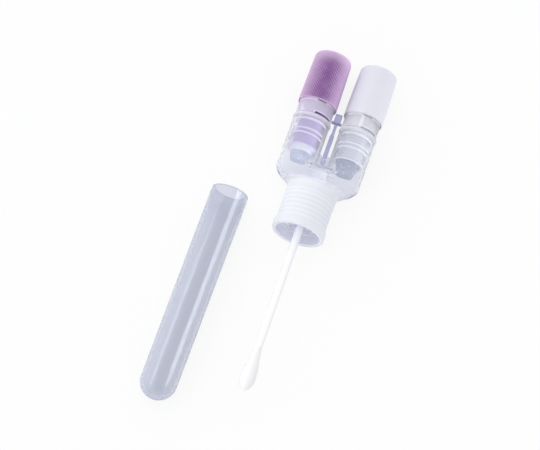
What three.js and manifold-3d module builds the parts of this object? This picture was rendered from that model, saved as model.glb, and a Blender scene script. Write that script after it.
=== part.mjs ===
// Two-reagent specimen swab with its test tube. Millimetres, +Z up.
//
// Every piece of the holder is built along its own +Y axis, from the collar mouth at y = 0
// towards the caps, and the finished holder is laid down on its collar lip and its cap edges.
// The test tube has been taken off and lies beside the holder, almost parallel to it.
import * as THREE from "three";
import { mergeVertices } from "three/addons/utils/BufferGeometryUtils.js";
import Module from "manifold-3d";

const SIDES = 36; // flats round a turned piece
const SMALL_SIDES = 20; // flats round a thin turned piece
const ROUND_STEPS = 6; // flats along a rounded edge
const PIECE_GAP = 0.3; // between faces that seat on each other
const RUN_GAP = 0.15; // round a piece that slides or is pressed in
const JOIN_DEPTH = 0.3; // how far a joined piece runs into its neighbour
const CUT_PAST = 1; // how far a cutting piece runs past the face that it cuts
const EDGE_BREAK = 0.2; // bevel on a small edge

// Test tube
const TUBE_LENGTH = 74;
const TUBE_RADIUS = 6.08; // outside, at the mouth
const TUBE_DRAFT = 0.11; // how much smaller the foot's radius is
const TUBE_WALL = 1.0;
const TUBE_FOOT_STEPS = 10; // flats along the round foot
const TUBE_OFFSET_X = -25.4; // tube axis, from the holder axis
const TUBE_MOUTH_Y = 7.6; // tube mouth, from the collar mouth
const TUBE_TURN = THREE.MathUtils.degToRad(-0.9);

// Collar, sized round the test tube that it takes
const COLLAR_LENGTH = 16.1;
const COLLAR_WALL = 1.1;
const LIP_PROUD = 0.45;
const LIP_LENGTH = 2.9;
const LIP_ROUND = 0.5;
const LIP_BEVEL = 0.9;
const MOUTH_BEVEL_WIDTH = 0.4;
const MOUTH_BEVEL_LENGTH = 0.6;
const RING_COUNT = 6;
const RING_PITCH = 1.6;
const RING_WIDTH = 0.9;
const RING_DEPTH = 0.82;
const FIRST_RING = 3.6;
const LEDGE_THICKNESS = 1.3;
const LEDGE_INSET = 0.13; // how far the tube stop reaches in past the tube's bore

// Barrels and shoulders
const BARREL_RADIUS = 6.05;
const BARREL_WALL = 0.85;
const BARREL_REACH = 23.4; // from the collar's end to the barrels' rims
const RIM_BEAD = 0.2;
const RIM_BEAD_HEIGHT = 0.9;
const SHOULDER_SLOPE = 0.65; // rise of the shoulder for each millimetre outwards
const SHOULDER_ROUND = 3.0;
const HOPPER_SLOPE = 0.6;
const HOPPER_ROUND = 1.6;
const HOPPER_RISE = 0.3; // where the sloping floor starts, above the collar's end
const HOPPER_HEADROOM = 0.05; // upright wall over the hopper's round
const WITNESS_STEP = 0.06; // the shoulder stands this far proud of the barrels
const DECK_THICKNESS = 0.7;

// Stick socket, and the web between the barrels
const SOCKET_WALL = 2.2;
const SOCKET_NECK_WALL = 0.9;
const SOCKET_MOUTH = 2.7; // from the collar's mouth
const SOCKET_WALL_TOP = 2.0; // solid left over the socket's blind end
const SOCKET_BEVEL = 0.5;
const SOCKET_SLACK = 0.1; // room for the stick's lean
const FIN_COUNT = 4;
const FIN_GAP = 0.38; // between the fins and the tube's bore
const FIN_LENGTH = 3.0;
const FIN_THICKNESS = 0.7;
const FIN_INSET = 0.4; // from the socket's mouth to the fins
const WEB_LENGTH = 5.4;
const WEB_HALF_DEPTH = 1.6;
const WEB_SETBACK = 0.2; // between the web's sides and the barrels' bores
const WEB_NOTCH_RADIUS = 1.0;
const WEB_NOTCH_LIFT = 0.2; // the notch's centre, over the web's top

// Swab
const SWAB_REACH = 56.0; // from the collar's mouth to the bud's tip
const STICK_RADIUS = 1.25;
const STICK_LEAN = THREE.MathUtils.degToRad(0.3);
const BUD_RADIUS = 2.58;
const BUD_END_LENGTH = 4.6;
const BUD_TAPER_LENGTH = 10.5;
const BUD_NECK_WALL = 0.12;
const BUD_STEPS = 8; // flats along the bud's end, and along its taper

// Reagent vials, each in its barrel, with the neck band over the barrel's rim
const VIAL_GAP = 0.25; // between the vial and its barrel
const VIAL_WALL = 0.8;
const VIAL_REACH = 11.2; // from the barrel's rim down to the vial's end
const BAND_SETBACK = 0.2; // how much smaller the band's radius is than the barrel's
const BAND_HIDDEN = 0.8; // how far the band runs up inside the cap
const BAND_BEVEL = 0.3;
const BEAD_PROUD = 0.12;
const BEAD_DEPTHS = [7.0, 5.4, 1.9]; // from the barrel's rim down
const BEAD_WIDTHS = [0.5, 0.5, 0.8];
const SLOT_SWEEP = THREE.MathUtils.degToRad(75);
const SLOT_HEIGHT = 0.65;
const SLOT_SKIN = 0.02; // how far the slot's floor stays off the vial wall
const SECTOR_STEPS = 10; // flats along a slot's or slit's arc
const SLIT_SWEEP = THREE.MathUtils.degToRad(30);
const SLIT_HEIGHT = 0.35;
const SLIT_DEPTH = 0.5;
const SLIT_UNDER_CAP = 0.05;
const BAR_ANGLE = THREE.MathUtils.degToRad(-1);
const BAR_WIDTH = 1.4;
const BAR_PROUD = 0.07;
const BAR_INSET = 0.1; // from each edge of the band that shows

// Press caps, their plunger stems, the plugs and the liquid
const CAP_RISE = 5.2; // from the barrel's rim to the cap's edge
const CAP_LENGTH = 18.2;
const CAP_WALL = 0.43; // at the edge of the skirt
const CAP_DRAFT = 0.35; // how much smaller the top's radius is
const CAP_GAP = 2.55; // between the two caps' edges
const CAP_ROUND = 1.5;
const CAP_TOP_WALL = 2.0;
const PRESS_TRAVEL = 3.0;
const SKIRT_GAP = 0.1; // round the bar on the neck band
const SKIRT_HEADROOM = 1.0; // over the neck band when the cap is pressed
const SKIRT_TAPER = 0.6;
const NECK_GAP = 0.3; // round the vial's neck
const NECK_HEADROOM = 4.9; // over the vial's neck when the cap is pressed
const STEM_GAP = 0.25; // between the stem and the vial
const STEM_WALL = 0.85;
const STEM_BEAD_DEPTH = 4.0; // from the vial's neck down
const STEM_BEAD_WIDTH = 1.2;
const PLUG_FLANGE = 0.7;
const PLUG_SETBACK = 0.5; // how much smaller the plug's cone is than the vial's bore
const PLUG_TIP_RADIUS = 2.6;
const PLUG_FLOOR_GAP = 1.08; // over the hopper's floor when the plug is pushed out
const REAGENT_AIR = 9.9; // empty space over the liquid

// Centre key
const KEY_FOOT_RADIUS = 0.7;
const KEY_FOOT_DEPTH = 2.7; // in the web
const KEY_STEM_RADIUS = 0.48;
const KEY_STEM_LENGTH = 4.2;
const KEY_HEAD_INSET = 0.6; // from the head's top to the caps' edges
const KEY_HEAD_DEPTH = 1.8;
const KEY_WING_HEIGHT = 0.45;
const KEY_CLEARANCE = 0.45; // under a pressed cap's edge

// Radii that follow from the sizes above
const tubeBore = TUBE_RADIUS - TUBE_WALL;
const tubeFootRadius = TUBE_RADIUS - TUBE_DRAFT;
const ringRadius = TUBE_RADIUS + RUN_GAP;
const collarBore = ringRadius + RING_DEPTH;
const collarRadius = collarBore + COLLAR_WALL;
const lipRadius = collarRadius + LIP_PROUD;
const ledgeRadius = tubeBore - LEDGE_INSET;
const socketBore = STICK_RADIUS + RUN_GAP + SOCKET_SLACK;
const socketRadius = socketBore + SOCKET_WALL;
const socketNeckRadius = socketBore + SOCKET_NECK_WALL;
const finRadius = tubeBore - FIN_GAP;
const barrelBore = BARREL_RADIUS - BARREL_WALL;
const vialRadius = barrelBore - VIAL_GAP;
const vialBore = vialRadius - VIAL_WALL;
const bandRadius = BARREL_RADIUS - BAND_SETBACK;
const capSkirtBore = bandRadius + BAR_PROUD + SKIRT_GAP;
const capEdgeRadius = capSkirtBore + CAP_WALL;
const capTopRadius = capEdgeRadius - CAP_DRAFT;
const capNeckBore = vialRadius + NECK_GAP;
const stemRadius = vialBore - STEM_GAP;
const stemBore = stemRadius - STEM_WALL;
const barrelX = capEdgeRadius + CAP_GAP / 2; // each barrel's axis, from the holder's

// Heights that follow, from the collar's mouth
const hopperStart = COLLAR_LENGTH + HOPPER_RISE;
const hopperWallX = barrelX + barrelBore - WITNESS_STEP;
const hopperFloor = slopeToWall(ledgeRadius, hopperStart, hopperWallX, HOPPER_SLOPE, HOPPER_ROUND);
const hopperTop = hopperFloor[hopperFloor.length - 1][1] + HOPPER_HEADROOM;
const deckTop = hopperTop + DECK_THICKNESS;
const webTop = deckTop + WEB_LENGTH;
const socketEnd = deckTop - SOCKET_WALL_TOP;
const stickTail = socketEnd - PIECE_GAP;
const barrelRim = COLLAR_LENGTH + BARREL_REACH;
const bandBottom = barrelRim + PIECE_GAP;
const capEdge = barrelRim + CAP_RISE;
const bandTop = capEdge + BAND_HIDDEN;
const skirtBoreTop = bandTop + PRESS_TRAVEL + SKIRT_HEADROOM;
const capTop = capEdge + CAP_LENGTH;
const capCeiling = capTop - CAP_TOP_WALL;
const vialNeckTop = capCeiling - PRESS_TRAVEL - NECK_HEADROOM;
const vialEnd = barrelRim - VIAL_REACH;
const plugTop = vialEnd + PLUG_FLANGE;
const floorUnderPlug = hopperStart + (barrelX + PLUG_TIP_RADIUS - ledgeRadius) * HOPPER_SLOPE;
const plugTip = floorUnderPlug + PRESS_TRAVEL + PLUG_FLOOR_GAP;
const stemEnd = plugTop + PIECE_GAP;
const keyFoot = webTop - KEY_FOOT_DEPTH;
const keyHeadBottom = capEdge - PRESS_TRAVEL - KEY_CLEARANCE - KEY_WING_HEIGHT;
const keyFootTop = keyHeadBottom - KEY_STEM_LENGTH;

// Colour, roughness and opacity of each kind of piece
const TUBE_LOOK = [0xe3e7f2, 0.1, 0.35];
const BODY_LOOK = [0xe9edf7, 0.2, 0.4];
const STICK_LOOK = [0xf7f7fb, 0.45, 1];
const BUD_LOOK = [0xfbfaf8, 0.95, 1];
const KEY_LOOK = [0xaab0d2, 0.25, 0.7];
const VIAL_LOOK = [0xe4e8f4, 0.15, 0.35];
const PLUG_LOOK = [0xb4bdcf, 0.35, 1];
const REAGENT_LOOK = [0xdfe8f2, 0.05, 0.5];
const PURPLE_CAP_LOOK = [0x9a62ab, 0.4, 1];
const WHITE_CAP_LOOK = [0xe6e4f2, 0.4, 1];

const wasm = await Module();
wasm.setup();

// ---- Geometry helpers -------------------------------------------------------------------

// Shares vertices, drops empty triangles and turns the faces outwards.
function sealed(geometry) {
  geometry.deleteAttribute("normal");
  geometry.deleteAttribute("uv");
  const merged = mergeVertices(geometry, 1e-4);
  const place = merged.attributes.position;
  const corners = merged.index.array;
  const kept = [];
  const a = new THREE.Vector3();
  const b = new THREE.Vector3();
  const c = new THREE.Vector3();
  let volume = 0;
  for (let i = 0; i < corners.length; i += 3) {
    const [ia, ib, ic] = corners.slice(i, i + 3);
    if (ia === ib || ib === ic || ic === ia) continue;
    a.fromBufferAttribute(place, ia);
    b.fromBufferAttribute(place, ib);
    c.fromBufferAttribute(place, ic);
    volume += a.dot(b.cross(c));
    kept.push(ia, ib, ic);
  }
  if (volume < 0) kept.reverse();
  merged.setIndex(kept);
  return merged;
}

// Points on an arc of a turned outline: [radius, y] pairs, angles in degrees from +radius.
function arc(centreRadius, centreY, radius, from, to, steps) {
  const points = [];
  for (let i = 0; i <= steps; i++) {
    const angle = THREE.MathUtils.degToRad(from + ((to - from) * i) / steps);
    points.push([centreRadius + radius * Math.cos(angle), centreY + radius * Math.sin(angle)]);
  }
  return points;
}

// Revolves an outline of [radius, y] pairs about +Y.
function turned(outline, sides = SIDES) {
  const points = outline.map(([radius, y]) => new THREE.Vector2(radius, y));
  return sealed(new THREE.LatheGeometry(points, sides));
}

function cylinder(radius, from, to, sides = SIDES) {
  return turned([[0, from], [radius, from], [radius, to], [0, to]], sides);
}

function block(width, from, to, depth) {
  const geometry = new THREE.BoxGeometry(width, to - from, depth);
  return sealed(geometry.translate(0, (from + to) / 2, 0));
}

// Joins loops of points, one above the other, and closes both ends with a fan.
function lofted(loops) {
  const count = loops[0].length;
  const first = loops[0].reduce((sum, p) => sum.add(p), new THREE.Vector3()).divideScalar(count);
  const lastLoop = loops[loops.length - 1];
  const last = lastLoop.reduce((sum, p) => sum.add(p), new THREE.Vector3()).divideScalar(count);
  const points = [...loops.flat(), first, last];
  const faces = [];
  for (let i = 0; i < count; i++) {
    const j = (i + 1) % count;
    for (let k = 0; k + 1 < loops.length; k++) {
      const low = k * count;
      const high = low + count;
      faces.push(low + i, high + i, low + j, low + j, high + i, high + j);
    }
    const top = (loops.length - 1) * count;
    faces.push(points.length - 2, i, j, points.length - 1, top + j, top + i);
  }
  const geometry = new THREE.BufferGeometry().setFromPoints(points);
  geometry.setIndex(faces);
  return sealed(geometry);
}

// A loop at height y: two half circles joined by straight sides.
function stadium(halfWidth, radius, y) {
  const loop = [];
  for (let i = 0; i < SIDES; i++) {
    const angle = (2 * Math.PI * (i + 0.5)) / SIDES;
    const side = Math.sign(Math.cos(angle));
    const x = side * (halfWidth - radius) + radius * Math.cos(angle);
    loop.push(new THREE.Vector3(x, y, radius * Math.sin(angle)));
  }
  return loop;
}

// A wedge of a ring between two radii, from one angle to another (0 is +Z, positive to +X).
function ringSector(inner, outer, from, to, start, sweep) {
  const shape = new THREE.Shape();
  shape.absarc(0, 0, outer, start, start + sweep, false);
  shape.absarc(0, 0, inner, start + sweep, start, true);
  shape.closePath();
  const geometry = new THREE.ExtrudeGeometry(shape, {
    depth: to - from,
    bevelEnabled: false,
    curveSegments: SECTOR_STEPS,
  });
  // The shape's x becomes +Z and its y becomes +X, and the extrusion runs along +Y.
  const basis = new THREE.Matrix4().makeBasis(
    new THREE.Vector3(0, 0, 1),
    new THREE.Vector3(1, 0, 0),
    new THREE.Vector3(0, 1, 0),
  );
  geometry.applyMatrix4(basis.setPosition(0, from, 0));
  return sealed(geometry);
}

function solid(geometry) {
  const vertProperties = new Float32Array(geometry.attributes.position.array);
  const triVerts = new Uint32Array(geometry.index.array);
  return new wasm.Manifold(new wasm.Mesh({ numProp: 3, vertProperties, triVerts }));
}

function surface(manifold) {
  const mesh = manifold.getMesh();
  const geometry = new THREE.BufferGeometry();
  geometry.setAttribute("position", new THREE.BufferAttribute(mesh.vertProperties, 3));
  geometry.setIndex(new THREE.BufferAttribute(mesh.triVerts, 1));
  return geometry;
}

function joined(...geometries) {
  return geometries.map(solid).reduce((whole, piece) => whole.add(piece));
}

function piece(name, geometry, [color, roughness, opacity]) {
  const material = new THREE.MeshStandardMaterial({
    color,
    roughness,
    metalness: 0,
    opacity,
    transparent: opacity < 1,
  });
  const mesh = new THREE.Mesh(geometry, material);
  mesh.name = name;
  return mesh;
}

// ---- Test tube --------------------------------------------------------------------------

function testTube() {
  const centreY = tubeFootRadius;
  const innerFoot = tubeFootRadius - TUBE_WALL;
  const outline = [
    ...arc(0, centreY, tubeFootRadius, -90, 0, TUBE_FOOT_STEPS),
    [TUBE_RADIUS, TUBE_LENGTH],
    [tubeBore, TUBE_LENGTH],
    ...arc(0, centreY, innerFoot, 0, -90, TUBE_FOOT_STEPS),
  ];
  const tube = piece("test_tube", turned(outline), TUBE_LOOK);
  const draft = Math.atan(TUBE_DRAFT / (TUBE_LENGTH - centreY));
  tube.rotation.x = draft;
  tube.position.y = -TUBE_LENGTH / 2;
  const group = new THREE.Group().add(tube);
  group.rotation.z = TUBE_TURN;
  group.position.set(TUBE_OFFSET_X, TUBE_MOUTH_Y - TUBE_LENGTH / 2, 0);
  return group;
}

// ---- Holder moulding --------------------------------------------------------------------

function collarOutside() {
  return turned([
    [0, 0],
    ...arc(lipRadius - LIP_ROUND, LIP_ROUND, LIP_ROUND, -90, 0, ROUND_STEPS),
    [lipRadius, LIP_LENGTH],
    [collarRadius, LIP_LENGTH + LIP_BEVEL],
    [collarRadius, COLLAR_LENGTH + JOIN_DEPTH],
    [0, COLLAR_LENGTH + JOIN_DEPTH],
  ]);
}

function collarInside() {
  const mouthRadius = collarBore + MOUTH_BEVEL_WIDTH;
  const outline = [[0, -CUT_PAST], [mouthRadius, -CUT_PAST], [mouthRadius, 0]];
  outline.push([collarBore, MOUTH_BEVEL_LENGTH]);
  for (let i = 0; i < RING_COUNT; i++) {
    const y = FIRST_RING + i * RING_PITCH;
    outline.push([collarBore, y - RING_WIDTH / 2]);
    outline.push([ringRadius, y]);
    outline.push([collarBore, y + RING_WIDTH / 2]);
  }
  const ledgeY = COLLAR_LENGTH - LEDGE_THICKNESS;
  outline.push([collarBore, ledgeY], [ledgeRadius, ledgeY]);
  outline.push([ledgeRadius, COLLAR_LENGTH + CUT_PAST], [0, COLLAR_LENGTH + CUT_PAST]);
  return turned(outline);
}

// Half-widths of a sloping floor that starts at (fromX, fromY), rises with the given slope
// and turns up into the side wall at wallX with a round: [x, y] pairs.
function slopeToWall(fromX, fromY, wallX, slope, round) {
  const lean = Math.atan(slope);
  const cornerY = fromY + (wallX - fromX) * slope;
  const tangent = round * Math.tan((Math.PI / 2 - lean) / 2);
  const centreX = wallX - round;
  const centreY = cornerY + tangent;
  const fromDegrees = THREE.MathUtils.radToDeg(lean) - 90;
  return [[fromX, fromY], ...arc(centreX, centreY, round, fromDegrees, 0, ROUND_STEPS)];
}

// Lofts stadium sections along a slope outline; their end radius eases from one to another.
function hopper(outline, topY, fromRadius, toRadius) {
  const [startY, endY] = [outline[0][1], outline[outline.length - 1][1]];
  const sections = [...outline, [outline[outline.length - 1][0], topY]];
  return lofted(sections.map(([halfWidth, y]) => {
    const along = THREE.MathUtils.smoothstep(y, startY, endY);
    return stadium(halfWidth, THREE.MathUtils.lerp(fromRadius, toRadius, along), y);
  }));
}

function shoulderOutside() {
  const wallX = barrelX + BARREL_RADIUS + WITNESS_STEP;
  const outline = slopeToWall(collarRadius, COLLAR_LENGTH, wallX, SHOULDER_SLOPE, SHOULDER_ROUND);
  return hopper(outline, deckTop, collarRadius, BARREL_RADIUS + WITNESS_STEP);
}

function shoulderInside() {
  return hopper(hopperFloor, hopperTop, ledgeRadius, barrelBore - WITNESS_STEP);
}

function barrelOutside() {
  const beadRadius = BARREL_RADIUS + RIM_BEAD;
  return turned([
    [0, hopperTop],
    [BARREL_RADIUS, hopperTop],
    [BARREL_RADIUS, barrelRim - RIM_BEAD_HEIGHT - RIM_BEAD],
    [beadRadius, barrelRim - RIM_BEAD_HEIGHT],
    [beadRadius, barrelRim - RIM_BEAD],
    [beadRadius - RIM_BEAD, barrelRim],
    [0, barrelRim],
  ]);
}

function stickSocket() {
  return turned([
    [0, SOCKET_MOUTH],
    [socketRadius - SOCKET_BEVEL, SOCKET_MOUTH],
    [socketRadius, SOCKET_MOUTH + SOCKET_BEVEL],
    [socketRadius, COLLAR_LENGTH - LEDGE_THICKNESS],
    [socketNeckRadius, hopperTop],
    [socketNeckRadius, deckTop],
    [0, deckTop],
  ]);
}

function socketFin(index) {
  const foot = SOCKET_MOUTH + FIN_INSET;
  const fin = block(finRadius, foot, SOCKET_MOUTH + FIN_LENGTH, FIN_THICKNESS);
  fin.translate(finRadius / 2, 0, 0);
  fin.rotateY((2 * Math.PI * (index + 0.5)) / FIN_COUNT);
  return fin;
}

function webBetweenBarrels() {
  const width = 2 * (barrelX - barrelBore - WEB_SETBACK);
  return block(width, hopperTop + DECK_THICKNESS / 2, webTop, 2 * WEB_HALF_DEPTH);
}

function webNotch() {
  const depth = 2 * (WEB_HALF_DEPTH + CUT_PAST);
  const notch = cylinder(WEB_NOTCH_RADIUS, -depth / 2, depth / 2, SMALL_SIDES);
  return notch.rotateX(Math.PI / 2).translate(0, webTop + WEB_NOTCH_LIFT, 0);
}

function twinBarrelBody() {
  let whole = joined(collarOutside(), shoulderOutside(), webBetweenBarrels());
  for (const side of [-1, 1]) {
    whole = whole.add(solid(barrelOutside().translate(side * barrelX, 0, 0)));
  }
  whole = whole.subtract(joined(collarInside(), shoulderInside()));
  for (const side of [-1, 1]) {
    const bore = cylinder(barrelBore, hopperTop - JOIN_DEPTH, barrelRim + CUT_PAST);
    whole = whole.subtract(solid(bore.translate(side * barrelX, 0, 0)));
  }
  whole = whole.add(solid(stickSocket()));
  for (let i = 0; i < FIN_COUNT; i++) whole = whole.add(solid(socketFin(i)));
  const keyBore = KEY_FOOT_RADIUS + RUN_GAP;
  const keyHole = cylinder(keyBore, keyFoot - PIECE_GAP, webTop + CUT_PAST, SMALL_SIDES);
  const stickHole = cylinder(socketBore, SOCKET_MOUTH - CUT_PAST, socketEnd, SMALL_SIDES);
  whole = whole.subtract(joined(stickHole, keyHole, webNotch()));
  return piece("twin_barrel_body", surface(whole), BODY_LOOK);
}

// ---- Swab -------------------------------------------------------------------------------

function swab() {
  const stickTip = BUD_END_LENGTH / 2 - SWAB_REACH;
  const stick = turned([
    [0, stickTip],
    [STICK_RADIUS - EDGE_BREAK, stickTip],
    [STICK_RADIUS, stickTip + EDGE_BREAK],
    [STICK_RADIUS, stickTail - EDGE_BREAK],
    [STICK_RADIUS - EDGE_BREAK, stickTail],
    [0, stickTail],
  ], SMALL_SIDES);

  const widestY = BUD_END_LENGTH - SWAB_REACH;
  const boreRadius = STICK_RADIUS + BUD_NECK_WALL;
  const neckRadius = boreRadius + BUD_NECK_WALL;
  const outline = [];
  for (let i = 0; i <= BUD_STEPS; i++) {
    const angle = (Math.PI / 2) * (i / BUD_STEPS);
    outline.push([BUD_RADIUS * Math.sin(angle), widestY - BUD_END_LENGTH * Math.cos(angle)]);
  }
  for (let i = 1; i <= BUD_STEPS; i++) {
    const ease = (1 + Math.cos((Math.PI * i) / BUD_STEPS)) / 2;
    const radius = neckRadius + (BUD_RADIUS - neckRadius) * ease;
    outline.push([radius, widestY + (BUD_TAPER_LENGTH * i) / BUD_STEPS]);
  }
  outline.push([boreRadius, widestY + BUD_TAPER_LENGTH]);
  outline.push([boreRadius, stickTip - PIECE_GAP], [0, stickTip - PIECE_GAP]);

  // The stick leans a little in its socket, about the socket's middle.
  const pivotY = (SOCKET_MOUTH + socketEnd) / 2;
  const group = new THREE.Group();
  for (const part of [
    piece("swab_stick", stick, STICK_LOOK),
    piece("swab_bud", turned(outline, SMALL_SIDES), BUD_LOOK),
  ]) {
    part.position.y = -pivotY;
    group.add(part);
  }
  group.position.y = pivotY;
  group.rotation.z = STICK_LEAN;
  return group;
}

// ---- Centre key -------------------------------------------------------------------------

function centreKey() {
  const pin = turned([
    [0, keyFoot],
    [KEY_FOOT_RADIUS, keyFoot],
    [KEY_FOOT_RADIUS, keyFootTop - EDGE_BREAK],
    [KEY_STEM_RADIUS, keyFootTop + EDGE_BREAK],
    [KEY_STEM_RADIUS, keyHeadBottom + JOIN_DEPTH],
    [0, keyHeadBottom + JOIN_DEPTH],
  ], SMALL_SIDES);
  const headWidth = CAP_GAP - 2 * RUN_GAP;
  const wingWidth = 2 * (barrelX - bandRadius) - PIECE_GAP;
  const wings = block(wingWidth, keyHeadBottom, keyHeadBottom + KEY_WING_HEIGHT, KEY_HEAD_DEPTH);
  const head = block(headWidth, keyHeadBottom, capEdge - KEY_HEAD_INSET, KEY_HEAD_DEPTH);
  return piece("centre_key", surface(joined(pin, head, wings)), KEY_LOOK);
}

// ---- Vials ------------------------------------------------------------------------------

function vialGeometry() {
  const outline = [[vialBore, vialEnd], [vialRadius, vialEnd]];
  BEAD_DEPTHS.forEach((depth, i) => {
    const y = barrelRim - depth;
    const half = BEAD_WIDTHS[i] / 2;
    outline.push([vialRadius, y - half - BEAD_PROUD], [vialRadius + BEAD_PROUD, y - half]);
    outline.push([vialRadius + BEAD_PROUD, y + half], [vialRadius, y + half + BEAD_PROUD]);
  });
  outline.push([vialRadius, bandBottom], [bandRadius, bandBottom]);
  outline.push([bandRadius, bandTop - BAND_BEVEL], [bandRadius - BAND_BEVEL, bandTop]);
  outline.push([vialRadius, bandTop], [vialRadius, vialNeckTop]);
  outline.push([vialBore, vialNeckTop], [vialBore, vialEnd]);

  const barDepth = BAR_PROUD + JOIN_DEPTH;
  const bar = block(BAR_WIDTH, bandBottom + BAR_INSET, capEdge - BAR_INSET, barDepth);
  bar.translate(0, 0, bandRadius + BAR_PROUD - barDepth / 2).rotateY(BAR_ANGLE);
  const cutRadius = bandRadius + CUT_PAST;
  const slitTop = capEdge - SLIT_UNDER_CAP;
  const slotTop = bandBottom + SLOT_HEIGHT;
  const slot = ringSector(vialRadius + SLOT_SKIN, cutRadius, bandBottom - JOIN_DEPTH, slotTop,
    0, SLOT_SWEEP);
  const slit = ringSector(bandRadius - SLIT_DEPTH, cutRadius, slitTop - SLIT_HEIGHT, slitTop,
    0, SLIT_SWEEP);
  return surface(joined(turned(outline), bar).subtract(joined(slot, slit)));
}

// ---- Press caps, plugs and liquid -------------------------------------------------------

function capGeometry() {
  const beadRadius = vialBore - RUN_GAP;
  const beadTop = vialNeckTop - STEM_BEAD_DEPTH + STEM_BEAD_WIDTH / 2;
  const beadFoot = beadTop - STEM_BEAD_WIDTH;
  return turned([
    [0, capTop],
    ...arc(capTopRadius - CAP_ROUND, capTop - CAP_ROUND, CAP_ROUND, 90, 0, ROUND_STEPS),
    [capEdgeRadius, capEdge],
    [capSkirtBore, capEdge],
    [capSkirtBore, skirtBoreTop],
    [capNeckBore, skirtBoreTop + SKIRT_TAPER],
    [capNeckBore, capCeiling],
    [stemRadius, capCeiling],
    [stemRadius, beadTop],
    [beadRadius, beadTop - EDGE_BREAK],
    [beadRadius, beadFoot + EDGE_BREAK],
    [stemRadius, beadFoot],
    [stemRadius, stemEnd],
    [stemBore, stemEnd],
    [stemBore, capCeiling],
    [0, capCeiling],
  ]);
}

function plugGeometry() {
  const flangeRadius = vialBore - RUN_GAP;
  const coneRadius = vialBore - PLUG_SETBACK;
  return turned([
    [0, plugTip],
    [PLUG_TIP_RADIUS, plugTip],
    [coneRadius, vialEnd - EDGE_BREAK],
    [coneRadius, vialEnd],
    [flangeRadius, vialEnd],
    [flangeRadius, plugTop],
    [0, plugTop],
  ]);
}

function reagentGeometry() {
  return cylinder(stemBore - RUN_GAP, stemEnd + RUN_GAP, capCeiling - REAGENT_AIR);
}

function pressUnit(side, label, capLook) {
  const unit = new THREE.Group();
  unit.add(piece(`${label}_side_vial`, vialGeometry(), VIAL_LOOK));
  unit.add(piece(`${label}_cap`, capGeometry(), capLook));
  unit.add(piece(`${label}_side_plug`, plugGeometry(), PLUG_LOOK));
  unit.add(piece(`${label}_side_reagent`, reagentGeometry(), REAGENT_LOOK));
  unit.position.x = side * barrelX;
  return unit;
}

// ---- Assembly ---------------------------------------------------------------------------

function holder() {
  const group = new THREE.Group();
  group.add(twinBarrelBody(), swab(), centreKey());
  group.add(pressUnit(-1, "purple", PURPLE_CAP_LOOK));
  group.add(pressUnit(1, "white", WHITE_CAP_LOOK));
  // Laid down, the holder leans from the back of its lip to the top edges of its caps.
  const drop = lipRadius - capTopRadius;
  group.rotation.x = -Math.atan(drop / (capTop - CAP_ROUND - LIP_LENGTH));
  return group;
}

// Lifts a group so that its lowest point lies at z = 0.
function laidDown(group) {
  const wrapper = new THREE.Group();
  wrapper.add(group);
  wrapper.position.z = -new THREE.Box3().setFromObject(wrapper, true).min.z;
  return wrapper;
}

const part = new THREE.Group();
part.add(laidDown(testTube()), laidDown(holder()));
const bounds = new THREE.Box3().setFromObject(part, true);
const middle = bounds.getCenter(new THREE.Vector3());
part.position.set(-middle.x, -middle.y, 0);

export default part;
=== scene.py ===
"""Looks of the two-reagent specimen swab and its test tube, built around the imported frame.

Lengths are in millimetres until a piece is put in place. The holder is worked out along its own
axis, y from the collar's mouth towards the caps, x from the purple unit to the white one, and z
towards the upper side; the test tube along its own axis, y from the foot towards the mouth.
Round pieces take their angle from +z, positive towards +x.
"""
import math
from collections import namedtuple

import bmesh
import bpy
import numpy as np
from mathutils import Matrix, Vector
from mathutils.geometry import tessellate_polygon


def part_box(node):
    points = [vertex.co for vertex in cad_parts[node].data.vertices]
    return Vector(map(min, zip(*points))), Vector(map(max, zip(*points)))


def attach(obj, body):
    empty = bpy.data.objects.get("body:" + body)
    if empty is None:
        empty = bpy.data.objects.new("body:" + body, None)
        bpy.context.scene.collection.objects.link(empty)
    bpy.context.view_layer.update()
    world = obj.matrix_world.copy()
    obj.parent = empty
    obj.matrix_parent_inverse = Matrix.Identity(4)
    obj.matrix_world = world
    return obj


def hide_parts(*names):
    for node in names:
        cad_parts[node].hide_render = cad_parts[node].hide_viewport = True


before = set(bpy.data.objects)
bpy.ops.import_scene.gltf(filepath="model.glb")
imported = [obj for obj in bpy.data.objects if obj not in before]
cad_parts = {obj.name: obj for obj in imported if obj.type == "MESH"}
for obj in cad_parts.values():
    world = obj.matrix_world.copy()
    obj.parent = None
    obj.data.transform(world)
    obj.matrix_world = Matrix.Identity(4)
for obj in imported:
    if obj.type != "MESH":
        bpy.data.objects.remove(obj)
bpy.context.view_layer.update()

MM = 0.001
SIDES = 128  # round the holder moulding
FINE_SIDES = 240  # round the test tube, and a vial, whose band has a slot and a slit
PLAIN_SIDES = 96  # round a plug

# ---- Sizes, as the frame's solids have them ---------------------------------------------

RUN_GAP = 0.15  # round a piece that slides or is pressed in
SEAT_GAP = 0.3  # between faces that seat on each other
JOIN_DEPTH = 0.3  # how far the collar runs into the shoulders
PRESS_TRAVEL = 3.0

# Test tube
TUBE_LENGTH, TUBE_MOUTH_RADIUS, TUBE_DRAFT, TUBE_WALL = 74.0, 6.08, 0.11, 1.0
TUBE_FOOT_RADIUS = TUBE_MOUTH_RADIUS - TUBE_DRAFT
TUBE_BORE = TUBE_MOUTH_RADIUS - TUBE_WALL
TUBE_TURN = math.radians(-0.9)

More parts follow.
